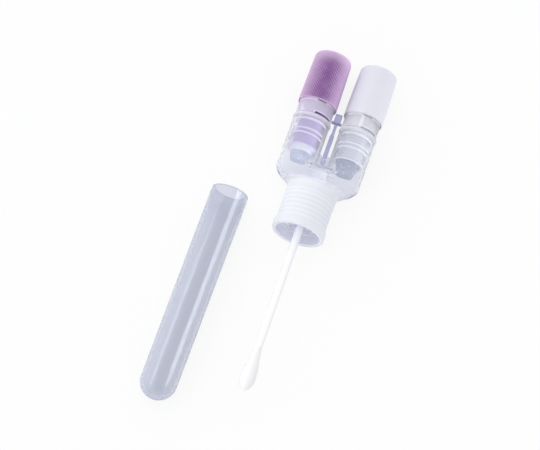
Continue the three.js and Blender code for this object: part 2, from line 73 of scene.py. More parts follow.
# Collar, sized round the test tube
COLLAR_LENGTH, COLLAR_WALL, LEDGE_THICKNESS, LEDGE_INSET = 16.1, 1.1, 1.3, 0.13
LIP_PROUD, LIP_LENGTH, LIP_ROUND, LIP_BEVEL = 0.45, 2.9, 0.5, 0.9
RING_DEPTH, RING_WIDTH, RING_PITCH, FIRST_RING, RING_COUNT = 0.82, 0.9, 1.6, 3.6, 6
RING_RADIUS = TUBE_MOUTH_RADIUS + RUN_GAP
COLLAR_BORE = RING_RADIUS + RING_DEPTH
COLLAR_RADIUS = COLLAR_BORE + COLLAR_WALL
COLLAR_BACK = COLLAR_LENGTH + JOIN_DEPTH
LIP_RADIUS = COLLAR_RADIUS + LIP_PROUD
LEDGE_RADIUS = TUBE_BORE - LEDGE_INSET
LEDGE_Y = COLLAR_LENGTH - LEDGE_THICKNESS

# Barrels, and the vials in them
BARREL_RADIUS, BARREL_WALL, BARREL_REACH = 6.05, 0.85, 23.4
VIAL_GAP, VIAL_WALL, VIAL_REACH = 0.25, 0.8, 11.2
BAND_SETBACK, BAND_HIDDEN, BAR_PROUD = 0.2, 0.8, 0.07
BARREL_BORE = BARREL_RADIUS - BARREL_WALL
BARREL_RIM = COLLAR_LENGTH + BARREL_REACH
VIAL_RADIUS = BARREL_BORE - VIAL_GAP
VIAL_BORE = VIAL_RADIUS - VIAL_WALL
VIAL_END = BARREL_RIM - VIAL_REACH
BAND_RADIUS = BARREL_RADIUS - BAND_SETBACK
BAND_BOTTOM = BARREL_RIM + SEAT_GAP

# Press caps and their stems, plugs and liquid
CAP_RISE, CAP_LENGTH, CAP_WALL, CAP_DRAFT, CAP_ROUND = 5.2, 18.2, 0.43, 0.35, 1.5
CAP_TOP_WALL, CAP_GAP, SKIRT_GAP, SKIRT_HEADROOM, SKIRT_TAPER = 2.0, 2.55, 0.1, 1.0, 0.6
NECK_GAP, NECK_HEADROOM, STEM_GAP, STEM_WALL = 0.3, 4.9, 0.25, 0.85
PLUG_FLANGE, PLUG_SETBACK, PLUG_TIP_RADIUS, PLUG_FLOOR_GAP = 0.7, 0.5, 2.6, 1.08
REAGENT_AIR = 9.9
CAP_EDGE = BARREL_RIM + CAP_RISE
CAP_TOP = CAP_EDGE + CAP_LENGTH
CAP_CEILING = CAP_TOP - CAP_TOP_WALL
BAND_TOP = CAP_EDGE + BAND_HIDDEN
SKIRT_BORE = BAND_RADIUS + BAR_PROUD + SKIRT_GAP
SKIRT_BORE_TOP = BAND_TOP + PRESS_TRAVEL + SKIRT_HEADROOM
CAP_EDGE_RADIUS = SKIRT_BORE + CAP_WALL
CAP_TOP_RADIUS = CAP_EDGE_RADIUS - CAP_DRAFT
BARREL_X = CAP_EDGE_RADIUS + CAP_GAP / 2
NECK_BORE = VIAL_RADIUS + NECK_GAP
VIAL_NECK_TOP = CAP_CEILING - PRESS_TRAVEL - NECK_HEADROOM
STEM_RADIUS = VIAL_BORE - STEM_GAP
STEM_BORE = STEM_RADIUS - STEM_WALL
PLUG_TOP = VIAL_END + PLUG_FLANGE
STEM_END = PLUG_TOP + SEAT_GAP
PLUG_RADIUS = VIAL_BORE - PLUG_SETBACK
PLUG_FLANGE_RADIUS = VIAL_BORE - RUN_GAP
REAGENT_RADIUS = STEM_BORE - RUN_GAP
REAGENT_FOOT = STEM_END + RUN_GAP
REAGENT_TOP = CAP_CEILING - REAGENT_AIR

# Shoulders, hopper, deck and web
SHOULDER_SLOPE, SHOULDER_ROUND, HOPPER_SLOPE, HOPPER_ROUND = 0.65, 3.0, 0.6, 1.6
HOPPER_TOP, DECK_THICKNESS, WEB_LENGTH = 22.105, 0.7, 5.4
HOPPER_START = COLLAR_BACK
DECK_TOP = HOPPER_TOP + DECK_THICKNESS
WEB_TOP = DECK_TOP + WEB_LENGTH
NOTCH_RADIUS, NOTCH_LIFT = 1.0, 0.2  # the U notch in the web, and its centre over the web's top
NOTCH_HALF = math.sqrt(NOTCH_RADIUS**2 - NOTCH_LIFT**2)
FLOOR_UNDER_PLUG = HOPPER_START + (BARREL_X + PLUG_TIP_RADIUS - LEDGE_RADIUS) * HOPPER_SLOPE
PLUG_TIP = FLOOR_UNDER_PLUG + PRESS_TRAVEL + PLUG_FLOOR_GAP

# Swab, its socket and the socket's fins
SWAB_REACH, STICK_RADIUS, BUD_RADIUS = 56.0, 1.25, 2.58
BUD_END_LENGTH, BUD_TAPER_LENGTH, BUD_NECK_WALL = 4.6, 10.5, 0.12
STICK_LEAN = math.radians(0.3)
SOCKET_MOUTH, SOCKET_WALL, SOCKET_NECK_WALL, SOCKET_WALL_TOP, SOCKET_SLACK = 2.7, 2.2, 0.9, 2.0, 0.1
FIN_COUNT, FIN_GAP, FIN_INSET, FIN_LENGTH, FIN_THICKNESS = 4, 0.38, 0.4, 3.0, 0.7
SOCKET_BORE = STICK_RADIUS + RUN_GAP + SOCKET_SLACK
SOCKET_RADIUS = SOCKET_BORE + SOCKET_WALL
SOCKET_NECK = SOCKET_BORE + SOCKET_NECK_WALL
SOCKET_END = DECK_TOP - SOCKET_WALL_TOP
STICK_TAIL = SOCKET_END - SEAT_GAP
STICK_TIP = BUD_END_LENGTH / 2 - SWAB_REACH
FIN_RADIUS = TUBE_BORE - FIN_GAP
FIN_FOOT = SOCKET_MOUTH + FIN_INSET
FIN_TOP = SOCKET_MOUTH + FIN_LENGTH

# Centre key
KEY_FOOT_DEPTH, KEY_STEM_LENGTH, KEY_HEAD_INSET, KEY_CLEARANCE = 2.7, 4.2, 0.6, 0.45
KEY_FOOT_RADIUS, KEY_STEM_RADIUS, KEY_HEAD_HALF_WIDTH, KEY_HALF_DEPTH = 0.7, 0.48, 1.12, 0.9
KEY_WING_HALF_WIDTH, KEY_WING_HEIGHT = 1.72, 0.45
KEY_FOOT = WEB_TOP - KEY_FOOT_DEPTH
KEY_HEAD_BOTTOM = CAP_EDGE - PRESS_TRAVEL - KEY_CLEARANCE - KEY_WING_HEIGHT
KEY_HEAD_TOP = CAP_EDGE - KEY_HEAD_INSET
KEY_FOOT_TOP = KEY_HEAD_BOTTOM - KEY_STEM_LENGTH

# What differs between the two reagent units. The shares run from 0, none, to 1, full.
# Of these, the bar's share is a painted highlight on the neck band's bar, and the slit's share is painted
# shade in the slit.
Unit = namedtuple("Unit", "label x cap_slot band_milk bar_milk slit_shade stem_ring_shade plug_pale_from")
PURPLE = Unit("purple", -BARREL_X, "purple_plastic", 0.65, 0.6, 1.0, 0.12, VIAL_END - 1.6)
WHITE = Unit("white", BARREL_X, "natural_plastic", 0.55, 0.95, 0.0, 0.8, VIAL_END + 0.5)


# ---- Places -----------------------------------------------------------------------------


def holder_place():
    """Turns holder millimetres into row metres: a lean about x, then a shift that sets the collar's
    lowest point and the lip's foremost one where the frame's moulding has them."""
    lean = math.atan((LIP_RADIUS - CAP_TOP_RADIUS) / (CAP_TOP - CAP_ROUND - LIP_LENGTH))
    low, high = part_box("twin_barrel_body")
    c, s = math.cos(lean), math.sin(lean)
    lip_front = c * LIP_ROUND - s * (LIP_RADIUS - LIP_ROUND) - LIP_ROUND
    collar_under = s * COLLAR_BACK + c * COLLAR_RADIUS
    shift = Vector(((low.x + high.x) / 2, low.y - lip_front * MM, low.z + collar_under * MM))
    return Matrix.Translation(shift) @ Matrix.Rotation(-lean, 4, "X") @ Matrix.Scale(MM, 4)


def tube_place():
    """Turns tube millimetres into row metres: the foot's ball touches the ground, and the frame's lowest
    x and lowest y. The tube rests on its wall, so it leans by its own draft."""
    low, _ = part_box("test_tube")
    reach = TUBE_FOOT_RADIUS * MM
    draft = math.atan(TUBE_DRAFT / (TUBE_LENGTH - TUBE_FOOT_RADIUS))
    ball = Vector((low.x + reach, low.y + reach, low.z + reach))
    turn = Matrix.Rotation(TUBE_TURN, 4, "Z") @ Matrix.Rotation(draft, 4, "X")
    foot = Matrix.Translation((0, -TUBE_FOOT_RADIUS, 0))
    return Matrix.Translation(ball) @ turn @ Matrix.Scale(MM, 4) @ foot


HOLDER = holder_place()
TUBE = tube_place()


def swab_place():
    """The holder's place, with the stick's lean about the middle of its socket."""
    pivot = Matrix.Translation((0, (SOCKET_MOUTH + SOCKET_END) / 2, 0))
    return HOLDER @ pivot @ Matrix.Rotation(STICK_LEAN, 4, "Z") @ pivot.inverted()


# ---- Surfaces ---------------------------------------------------------------------------


def smooth(x, start, end):
    """0 before start, 1 after end, and 3t^2 - 2t^3 between them."""
    t = np.clip((x - start) / (end - start), 0, 1)
    return t * t * (3 - 2 * t)


def window(x, start, end, soft):
    """1 between start and end, easing to 0 over soft on the inner side of each."""
    return smooth(x, start, start + soft) * (1 - smooth(x, end - soft, end))


def about(x, z, axis_x=0.0):
    """Angle and radius of points about the axis at this x."""
    return np.arctan2(x - axis_x, z), np.hypot(x - axis_x, z)


def arc(centre_radius, centre_y, radius, start, end, steps):
    """Outline points on an arc: centre + radius times (cos, sin) of an angle in degrees, which starts
    from the radius direction."""
    angle = np.radians(np.linspace(start, end, steps + 1))
    return np.stack([centre_radius + radius * np.cos(angle), centre_y + radius * np.sin(angle)], 1)


def line(start, end, steps):
    """Outline points at even steps along a straight line, without its last point."""
    t = np.linspace(0, 1, steps, endpoint=False)[:, None]
    return np.array(start) * (1 - t) + np.array(end) * t


def outline(*parts):
    """One list of outline points from lists of points."""
    return np.concatenate([np.atleast_2d(np.array(part, float)) for part in parts])


def quads(rows, columns, closed=True):
    """Corner numbers of the quads between neighbouring points of a grid; a closed grid joins its last
    column to its first."""
    number = np.arange(rows * columns).reshape(rows, columns)
    left, right = (number, np.roll(number, -1, 1)) if closed else (number[:, :-1], number[:, 1:])
    return np.stack([left[:-1], right[:-1], right[1:], left[1:]], -1).reshape(-1, 4)


def spun(profile, sides=PLAIN_SIDES, x=0.0, swell=None):
    """A profile of (radius, y) rows turned about y at this x. swell, where given, is a function of
    (angle, y, radius) grids that gives the new radius and y."""
    angle = np.linspace(0, 2 * np.pi, sides, endpoint=False)[None, :]
    radius, y = (np.repeat(profile[:, i : i + 1], sides, 1) for i in (0, 1))
    angle = np.repeat(angle, len(profile), 0)
    if swell is not None:
        radius, y = swell(angle, y, radius)
    points = np.stack([x + radius * np.sin(angle), y, radius * np.cos(angle)], -1)
    return points.reshape(-1, 3), quads(len(profile), sides)


def piece(name, patches, place, look, sharp=35):
    """One object from patches of (points, corner numbers): the patches share their rims' points, faces
    turn outwards, and edges under the sharp angle in degrees shade smoothly."""
    mesh = bpy.data.meshes.new(name)
    starts = np.cumsum([0] + [len(points) for points, _ in patches])
    faces = []
    for (_, corners), start in zip(patches, starts):
        faces += [tuple(face) for face in (np.asarray(corners) + start).tolist()]
    mesh.from_pydata(np.concatenate([points for points, _ in patches]).tolist(), [], faces)
    shape = bmesh.new()
    shape.from_mesh(mesh)
    bmesh.ops.remove_doubles(shape, verts=shape.verts, dist=1e-4)
    bmesh.ops.recalc_face_normals(shape, faces=shape.faces)
    bmesh.ops.transform(shape, matrix=place, verts=shape.verts)
    shape.to_mesh(mesh)
    shape.free()
    mesh.polygons.foreach_set("use_smooth", np.ones(len(mesh.polygons), bool))
    mesh.set_sharp_from_angle(angle=math.radians(sharp))
    mesh.materials.append(look)
    made = bpy.data.objects.new(name, mesh)
    bpy.context.scene.collection.objects.link(made)
    return made


def paint(made, place, **values):
    """Stores one number for each point under each name, from a function of the point's own (x, y, z)
    in millimetres."""
    mesh = made.data
    rows = np.empty(len(mesh.vertices) * 3, np.float32)
    mesh.vertices.foreach_get("co", rows)
    back = np.array(place.inverted())
    x, y, z = back[:3, :3] @ rows.reshape(-1, 3).T.astype(float) + back[:3, 3:]
    for name, value in values.items():
        layer = mesh.attributes.new(name, "FLOAT", "POINT")
        layer.data.foreach_set("value", np.clip(value(x, y, z).astype(np.float32), 0, 1))


def stand_for(made, node, body):
    """Says which of the frame's nodes a piece stands for, which body it rides on."""
    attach(made, body)
    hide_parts(node)
    return made


# ---- Holder moulding --------------------------------------------------------------------


def slope_to_wall(start, wall, slope, turn, steps):
    """(half-width, y) rows of a floor that rises by slope for each millimetre outwards and turns up into
    the side wall with a round of radius turn."""
    lean = math.atan(slope)
    corner = start[1] + (wall - start[0]) * slope
    centre_y = corner + turn * math.tan((math.pi / 2 - lean) / 2)
    round_up = arc(wall - turn, centre_y, turn, math.degrees(lean) - 90, 0, steps)
    return outline(line(start, round_up[0], steps), round_up)


def stadium_rows(rows, radii):
    """Points of loops of two half circles joined by straight sides: x = side (half-width - radius) + radius
    cos a, z = radius sin a, one loop for each (half-width, y) row."""
    angle = 2 * np.pi * (np.arange(SIDES) + 0.5) / SIDES
    half, y = rows[:, :1], rows[:, 1:]
    radius = np.minimum(radii[:, None], half)
    x = np.sign(np.cos(angle)) * (half - radius) + radius * np.cos(angle)
    z = radius * np.sin(angle)
    return np.stack([x, np.repeat(y, SIDES, 1), z], -1)


def moulding_skin():
    """One sheet from the deck's outer rim down over the shoulders and collar, round the lip and up the bore
    with its grip rings, the ledge and the sloping hopper."""
    outside = outline(
        [[LIP_RADIUS - LIP_ROUND, 0]],
        arc(LIP_RADIUS - LIP_ROUND, LIP_ROUND, LIP_ROUND, -90, 0, 6)[1:],
        [[LIP_RADIUS, LIP_LENGTH]],
        line((LIP_RADIUS, LIP_LENGTH), (COLLAR_RADIUS, LIP_LENGTH + LIP_BEVEL), 3)[1:],
        line((COLLAR_RADIUS, LIP_LENGTH + LIP_BEVEL), (COLLAR_RADIUS, COLLAR_LENGTH), 48),
    )
    wall = BARREL_X + BARREL_RADIUS
    shoulder = slope_to_wall((COLLAR_RADIUS, COLLAR_LENGTH), wall, SHOULDER_SLOPE, SHOULDER_ROUND, 12)
    shoulder = outline(shoulder, [[wall, DECK_TOP]])
    ease = smooth(shoulder[:, 1], COLLAR_LENGTH, shoulder[-2, 1])
    shoulder_radii = COLLAR_RADIUS + (BARREL_RADIUS - COLLAR_RADIUS) * ease

    y = np.linspace(0, RING_WIDTH, 9) - RING_WIDTH / 2
    rise = (COLLAR_BORE - RING_RADIUS) * np.cos(np.pi * y / RING_WIDTH) ** 2
    ring = np.stack([COLLAR_BORE - rise, y], 1)
    rings = [ring + [0, FIRST_RING + i * RING_PITCH] for i in range(RING_COUNT)]
    inside = outline(
        [[COLLAR_BORE + 0.4, 0.05], [COLLAR_BORE, 0.6]],
        *rings,
        [[COLLAR_BORE, LEDGE_Y - 0.3], [COLLAR_BORE - 0.3, LEDGE_Y]],
        [[LEDGE_RADIUS + 0.15, LEDGE_Y], [LEDGE_RADIUS, LEDGE_Y + 0.15]],
    )
    bore_wall = BARREL_X + BARREL_BORE
    floor = slope_to_wall((LEDGE_RADIUS, HOPPER_START), bore_wall, HOPPER_SLOPE, HOPPER_ROUND, 12)
    floor = outline(floor, [[bore_wall, HOPPER_TOP]])
    ease = smooth(floor[:, 1], HOPPER_START, floor[-2, 1])
    floor_radii = LEDGE_RADIUS + (BARREL_BORE - LEDGE_RADIUS) * ease

    rows = np.concatenate([shoulder[::-1], outside[::-1], inside, floor])
    radii = np.concatenate([shoulder_radii[::-1], outside[::-1, 0], inside[:, 0], floor_radii])
    return stadium_rows(rows, radii)


def barrel_circle(side, radius, y):
    """A loop of the moulding's own angles round one barrel, so that its outer half meets the skin's rim
    point for point."""
    angle = 2 * np.pi * (np.arange(SIDES) + 0.5) / SIDES
    x = side * BARREL_X + radius * np.cos(angle)
    return np.stack([x, np.full(SIDES, float(y)), radius * np.sin(angle)], -1)


WEB_SPAN = 5  # steps of a barrel's circle from the web's middle line to its face


def barrel_skin(side):
    """One barrel's outer wall from the deck to its beaded rim, and its bore down to the deck's underside.
    The outer wall leaves out the patch that the web covers."""
    y_rows = [
        (BARREL_RADIUS, DECK_TOP),
        (BARREL_RADIUS, WEB_TOP),
        (BARREL_RADIUS, BARREL_RIM - 1.15),
        (BARREL_RADIUS + 0.14, BARREL_RIM - 1.0),
        (BARREL_RADIUS + 0.2, BARREL_RIM - 0.8),
        (BARREL_RADIUS + 0.2, BARREL_RIM - 0.3),
        (BARREL_RADIUS + 0.12, BARREL_RIM - 0.06),
        (BARREL_RADIUS - 0.05, BARREL_RIM),
        (BARREL_BORE + 0.2, BARREL_RIM),
        (BARREL_BORE, BARREL_RIM - 0.2),
        (BARREL_BORE, BARREL_RIM - 1.1),
        (BARREL_BORE, BARREL_RIM - 1.3),
        (BARREL_BORE, HOPPER_TOP),
    ]
    points = np.stack([barrel_circle(side, r, y) for r, y in y_rows])
    corners = quads(len(y_rows), SIDES).reshape(len(y_rows) - 1, SIDES, 4)
    inner = SIDES // 2 if side > 0 else 0
    covered = (inner - 1 - WEB_SPAN + np.arange(2 * WEB_SPAN + 1)) % SIDES
    keep = np.ones(corners.shape[:2], bool)
    keep[0, covered] = False
    return points.reshape(-1, 3), corners[keep]


def web_height(x):
    """The web's top: level, with a round notch, centre - sqrt(radius^2 - x^2)."""
    notch = WEB_TOP + NOTCH_LIFT - np.sqrt(np.clip(NOTCH_RADIUS**2 - x * x, 0, None))
    return np.where(np.abs(x) < NOTCH_HALF, notch, WEB_TOP)


def web_skin():
    """The web between the barrels: its top runs straight from one barrel's circle to the other's, over the
    notch, and its two flat faces drop from there to the deck."""
    step = 2 * np.pi / SIDES
    angle = step * (np.arange(-WEB_SPAN - 1, WEB_SPAN + 1) + 0.5)
    z = BARREL_RADIUS * np.sin(angle)[:, None]
    reach = (BARREL_X - BARREL_RADIUS * np.cos(angle))[:, None]
    round_x = -NOTCH_HALF * np.cos(np.linspace(0, np.pi, 17))[None, :]
    x = np.concatenate([-reach, np.repeat(round_x, len(z), 0), reach], 1)
    top = np.stack([x, web_height(x), np.repeat(z, x.shape[1], 1)], -1)
    patches = [(top.reshape(-1, 3), quads(*x.shape, closed=False))]
    for edge in (top[0], top[-1]):
        feet = edge[[-1, 0]] * [1, 0, 1] + [0, DECK_TOP, 0]
        patches.append(filled(np.concatenate([edge, feet]), axes=(0, 1)))
    return patches


def filled(*loops, axes=(0, 2)):
    """Triangles over a flat region, which these two axes span: the first loop bounds it and the others are
    holes."""
    flat = [[Vector((*p[list(axes)], 0)) for p in loop] for loop in loops]
    return np.concatenate(loops), np.array(tessellate_polygon(flat))


def deck_skins(socket_loop):
    """The deck's top on each side of the web, and its underside round the stick socket: the flat regions
    between the two barrels' circles."""
    quarter = SIDES // 4
    right, left = (barrel_circle(side, BARREL_RADIUS, DECK_TOP) for side in (1, -1))
    inner_right = np.arange(quarter - 1, SIDES // 2 - WEB_SPAN)
    inner_left = np.arange(WEB_SPAN, quarter + 1)
    upper = np.concatenate([right[inner_right], left[inner_left]])
    patches = [filled(upper), filled(upper * [1, 1, -1])]
    right, left = (barrel_circle(side, BARREL_BORE, HOPPER_TOP) for side in (1, -1))
    rim_right = right[quarter - 1 : SIDES - quarter + 1]
    rim_left = [left[SIDES - quarter - 1 :], left[: quarter + 1]]
    patches.append(filled(np.concatenate([rim_right, *rim_left]), socket_loop))
    return patches


SOCKET_SIDES = 64


def socket_skin():
    """The stick socket: tapered outside, from the deck's underside down to its mouth, and its blind bore."""
    profile = outline(
        [[SOCKET_NECK, HOPPER_TOP], [SOCKET_RADIUS, LEDGE_Y]],
        [[SOCKET_RADIUS, SOCKET_MOUTH + 0.5], [SOCKET_RADIUS - 0.15, SOCKET_MOUTH + 0.15]],
        [[SOCKET_RADIUS - 0.5, SOCKET_MOUTH], [SOCKET_BORE + 0.15, SOCKET_MOUTH]],
        [[SOCKET_BORE, SOCKET_MOUTH + 0.15], [SOCKET_BORE, SOCKET_END], [0, SOCKET_END]],
    )
    return spun(profile, SOCKET_SIDES)


def fin_skin(index):
    """One fin at the socket's mouth: a plate with rounded edges, from inside the socket's wall outwards, at
    a quarter turn from the next."""
    turn = 2 * np.pi * (index + 0.5) / FIN_COUNT
    half, soft = FIN_THICKNESS / 2, 0.15
    inner, outer = SOCKET_RADIUS - 0.1, FIN_RADIUS
    right = [[inner, -half], [outer - soft, -half], [outer, -half + soft]]
    left = [[outer, half - soft], [outer - soft, half], [inner, half]]
    cross = np.array(right + left)
    y = np.array([FIN_FOOT, FIN_FOOT + soft, FIN_TOP - soft, FIN_TOP])
    shrink = np.array([soft, 0, 0, soft])
    middle = cross.mean(0)
    size = 1 - shrink[:, None, None] / np.array([(outer - inner) / 2, half])
    flat = middle + (cross[None] - middle) * size
    x = flat[..., 0] * np.sin(turn) + flat[..., 1] * np.cos(turn)
    z = flat[..., 0] * np.cos(turn) - flat[..., 1] * np.sin(turn)
    points = np.stack([x, np.repeat(y[:, None], len(cross), 1), z], -1)
    sides = [(points.reshape(-1, 3), quads(4, len(cross)))]
    for row in (0, -1):
        sides.append((points[row], np.array([[0, 1, 2], [0, 2, 3], [0, 3, 4], [0, 4, 5]])))
    return sides


# How milky each zone of the moulding is, from 0, clear, to 1, white
BARREL_MILK, COLLAR_MILK, OVER_RING_MILK, BORE_MILK, RING_MILK = 0.12, 0.84, 0.08, 0.08, 0.5
RIM_MILK, WEB_MILK, SOCKET_MILK, LIP_MILK = 0.5, 0.25, 1.0, 0.8
WEB_HALF_WIDTH, LIP_EDGE = 2.2, 0.3  # the zones' own limits
# Painted shade in the collar's bore, deep inside and more at its mouth
PAINTED_SHADE_DEEP, PAINTED_SHADE_AT_MOUTH = 0.12, 0.45


def moulding_milk(x, y, z):
    """How milky the moulding is: the collar more than the barrels, with a band over each grip ring; the
    solid stick socket, the lip and the rims most, the bores least."""
    out = np.hypot(x, z)
    by_rings = (y > FIRST_RING - RING_PITCH / 2) * (y < FIRST_RING + RING_PITCH * RING_COUNT)
    ring = np.cos(np.pi * (y - FIRST_RING) / RING_PITCH) ** 2 * by_rings
    collar = COLLAR_MILK + OVER_RING_MILK * ring
    leaving = smooth(y, COLLAR_LENGTH - 0.5, COLLAR_LENGTH + 2)
    milk = BARREL_MILK + (collar - BARREL_MILK) * (1 - leaving)
    in_bore = (out < COLLAR_BORE + 0.2) & (y < LEDGE_Y)
    milk = np.where(in_bore, BORE_MILK + RING_MILK * (out < RING_RADIUS + 0.3), milk)
    milk = np.where(y > BARREL_RIM - 1.1, RIM_MILK, milk)
    on_web = (np.abs(x) < WEB_HALF_WIDTH) & (y > DECK_TOP) & (y < WEB_TOP + 0.01)
    milk = np.where(on_web, WEB_MILK, milk)
    on_socket = (out < SOCKET_RADIUS + 0.05) & (y < HOPPER_TOP + 0.1)
    milk = np.where(on_socket, SOCKET_MILK, milk)
    return np.where(y < LIP_EDGE, LIP_MILK, milk)


def collar_painted_shade(x, y, z):
    """How much painted shade, in the accent colour, the collar's bore has: a little deep inside, and more at
    its mouth.
    """
    in_bore = (np.hypot(x, z) < COLLAR_BORE + 0.2) * (y > LIP_EDGE) * (y < LEDGE_Y)
    return (PAINTED_SHADE_DEEP + PAINTED_SHADE_AT_MOUTH * (1 - smooth(y, 2, 6))) * in_bore


def twin_barrel_moulding(look):
    skin = moulding_skin()
    socket = socket_skin()
    socket_loop = socket[0][:SOCKET_SIDES]
    patches = [(skin.reshape(-1, 3), quads(*skin.shape[:2]))]
    patches += [barrel_skin(side) for side in (1, -1)]
    patches += web_skin() + deck_skins(socket_loop) + [socket]
    for index in range(FIN_COUNT):
        patches += fin_skin(index)
    made = piece("twin_barrel_moulding", patches, HOLDER, look)
    paint(made, HOLDER, milk=moulding_milk, accent=collar_painted_shade)
    return stand_for(made, "twin_barrel_body", "holder")


# ---- Test tube --------------------------------------------------------------------------


def test_tube(look):
    """A round-bottomed tube: the outer ball and tapering wall, a rounded rim, and the bore down to a
    slightly thicker foot."""
    rim = TUBE_WALL / 2
    inner_foot = TUBE_FOOT_RADIUS - TUBE_WALL
    foot = arc(0, 0, inner_foot, 0, -90, 24) * [1, 0.93] + [0, TUBE_FOOT_RADIUS]
    profile = outline(
        arc(0, TUBE_FOOT_RADIUS, TUBE_FOOT_RADIUS, -90, 0, 28),
        line((TUBE_FOOT_RADIUS, TUBE_FOOT_RADIUS + 1), (TUBE_MOUTH_RADIUS, TUBE_LENGTH - rim), 12),
        arc(TUBE_MOUTH_RADIUS - rim, TUBE_LENGTH - rim, rim, 0, 180, 10),
        line((TUBE_BORE, TUBE_LENGTH - rim - 1), (inner_foot, TUBE_FOOT_RADIUS + 1), 12),
        foot,
    )

    def milk(x, y, z):
        """A trace everywhere, and more on the inside towards the mouth, where the darker haze colour is
        painted shade.
        """
        inside = np.hypot(x, z) < TUBE_MOUTH_RADIUS - rim
        return 0.03 + 0.22 * inside * smooth(y, TUBE_LENGTH - 14, TUBE_LENGTH - 2)

    def accent(x, y, z):
        """Painted highlights: pale lines on the rim and two arcs round the thick foot."""
        radius = np.hypot(x, z)
        inside = radius < TUBE_FOOT_RADIUS - rim
        arcs = 0.9 * window(y, 0.9, 1.4, 0.2) + 0.6 * (1 - smooth(y, 0.1, 0.3))
        return np.maximum(y > TUBE_LENGTH - 0.3, arcs * (1 - inside))

    made = piece("culture_tube", [spun(profile, FINE_SIDES)], TUBE, look)
    paint(made, TUBE, milk=milk, accent=accent)
    return stand_for(made, "test_tube", "holder")


# ---- Swab -------------------------------------------------------------------------------


def swab_stick(look):
    profile = outline(
        [[0, STICK_TIP], [STICK_RADIUS - 0.2, STICK_TIP]],
        line((STICK_RADIUS, STICK_TIP + 0.2), (STICK_RADIUS, STICK_TAIL - 0.2), 24),
        [[STICK_RADIUS, STICK_TAIL - 0.2], [STICK_RADIUS - 0.2, STICK_TAIL], [0, STICK_TAIL]],
    )
    made = piece("swab_handle", [spun(profile, sides=48)], swab_place(), look)
    return stand_for(made, "swab_stick", "holder")


def swab_bud(look):
    """Wound fibre: a half ellipse at the tip and a cosine taper to the stick, with shallow helical ridges,
    radius + 0.025 sin(7 angle + 5 y), and slower swellings that die out at the tip and the neck."""
    widest = BUD_END_LENGTH - SWAB_REACH
    neck = STICK_RADIUS + BUD_NECK_WALL
    t = np.linspace(0, np.pi / 2, 28)
    tip = np.stack([BUD_RADIUS * np.sin(t), widest - BUD_END_LENGTH * np.cos(t)], 1)
    t = np.linspace(0, 1, 60)[1:]
    narrowing = neck + (BUD_RADIUS - neck) * (1 + np.cos(np.pi * t)) / 2
    taper = np.stack([narrowing, widest + BUD_TAPER_LENGTH * t], 1)
    end = widest + BUD_TAPER_LENGTH
    bore, floor = STICK_RADIUS + 0.03, STICK_TIP - 0.1
    inside = [[bore, end + 0.02], [bore, floor], [0, floor]]

    def ridges(angle, y, radius):
        fade = window(y, -SWAB_REACH, end, 3.0) * (radius > STICK_RADIUS + 0.05)
        fine = 0.025 * np.sin(7 * angle + 5 * y)
        slow = 0.05 * np.sin(2 * angle + 0.55 * y) * np.cos(0.8 * y)
        return np.clip(radius - 0.05 + fade * (fine + slow), 0, None), y

    skin = spun(outline(tip, taper, inside), sides=120, swell=ridges)
    made = piece("fibre_bud", [skin], swab_place(), look)
    return stand_for(made, "swab_bud", "holder")


# ---- Centre key -------------------------------------------------------------------------


def rounded_bar(half_width, bottom, top, half_depth, corner):
    """A bar whose cross-section is a rounded rectangle, |x|^8 + |z|^8 = 1 scaled to its half-width and
    half-depth, drawn in by its corner size at both ends."""
    angle = np.linspace(0, 2 * np.pi, 40, endpoint=False)
    c, s = np.cos(angle), np.sin(angle)
    reach = (np.abs(c) ** 8 + np.abs(s) ** 8) ** (-1 / 8)
    step = np.array([0, 0, 0.3, 1]) * corner
    y = np.concatenate([bottom + step, top - step[::-1]])
    inset = corner * np.array([0, 1, 0.3, 0, 0, 0.3, 1, 0])
    inset[[0, -1]] = half_width + half_depth  # the ends close on the axis
    x = c * reach * np.clip(half_width - inset, 0, None)[:, None]
    z = s * reach * np.clip(half_depth - inset, 0, None)[:, None]
    points = np.stack([x, np.repeat(y[:, None], len(angle), 1), z], -1)
    return points.reshape(-1, 3), quads(len(y), len(angle))


def centre_key(look):
    """The T-headed pin: a foot in the web, a waisted stem, two low wings and a head that reaches up between
    the caps."""
    pin = outline(
        [[0, KEY_FOOT], [KEY_FOOT_RADIUS - 0.1, KEY_FOOT], [KEY_FOOT_RADIUS, KEY_FOOT + 0.1]],
        [[KEY_FOOT_RADIUS, KEY_FOOT_TOP - 0.3], [KEY_FOOT_RADIUS - 0.05, KEY_FOOT_TOP - 0.1]],
        [[KEY_STEM_RADIUS + 0.03, KEY_FOOT_TOP + 0.2], [KEY_STEM_RADIUS, KEY_FOOT_TOP + 0.4]],
        [[KEY_STEM_RADIUS, KEY_HEAD_BOTTOM + 0.3], [0, KEY_HEAD_BOTTOM + 0.3]],
    )
    wing_top = KEY_HEAD_BOTTOM + KEY_WING_HEIGHT
    wings = rounded_bar(KEY_WING_HALF_WIDTH, KEY_HEAD_BOTTOM, wing_top, KEY_HALF_DEPTH, 0.1)
    head = rounded_bar(KEY_HEAD_HALF_WIDTH, KEY_HEAD_BOTTOM + 0.05, KEY_HEAD_TOP, KEY_HALF_DEPTH, 0.2)
    made = piece("t_head_key", [spun(pin, sides=40), wings, head], HOLDER, look)
    return stand_for(made, "centre_key", "holder")


# ---- Vials ------------------------------------------------------------------------------

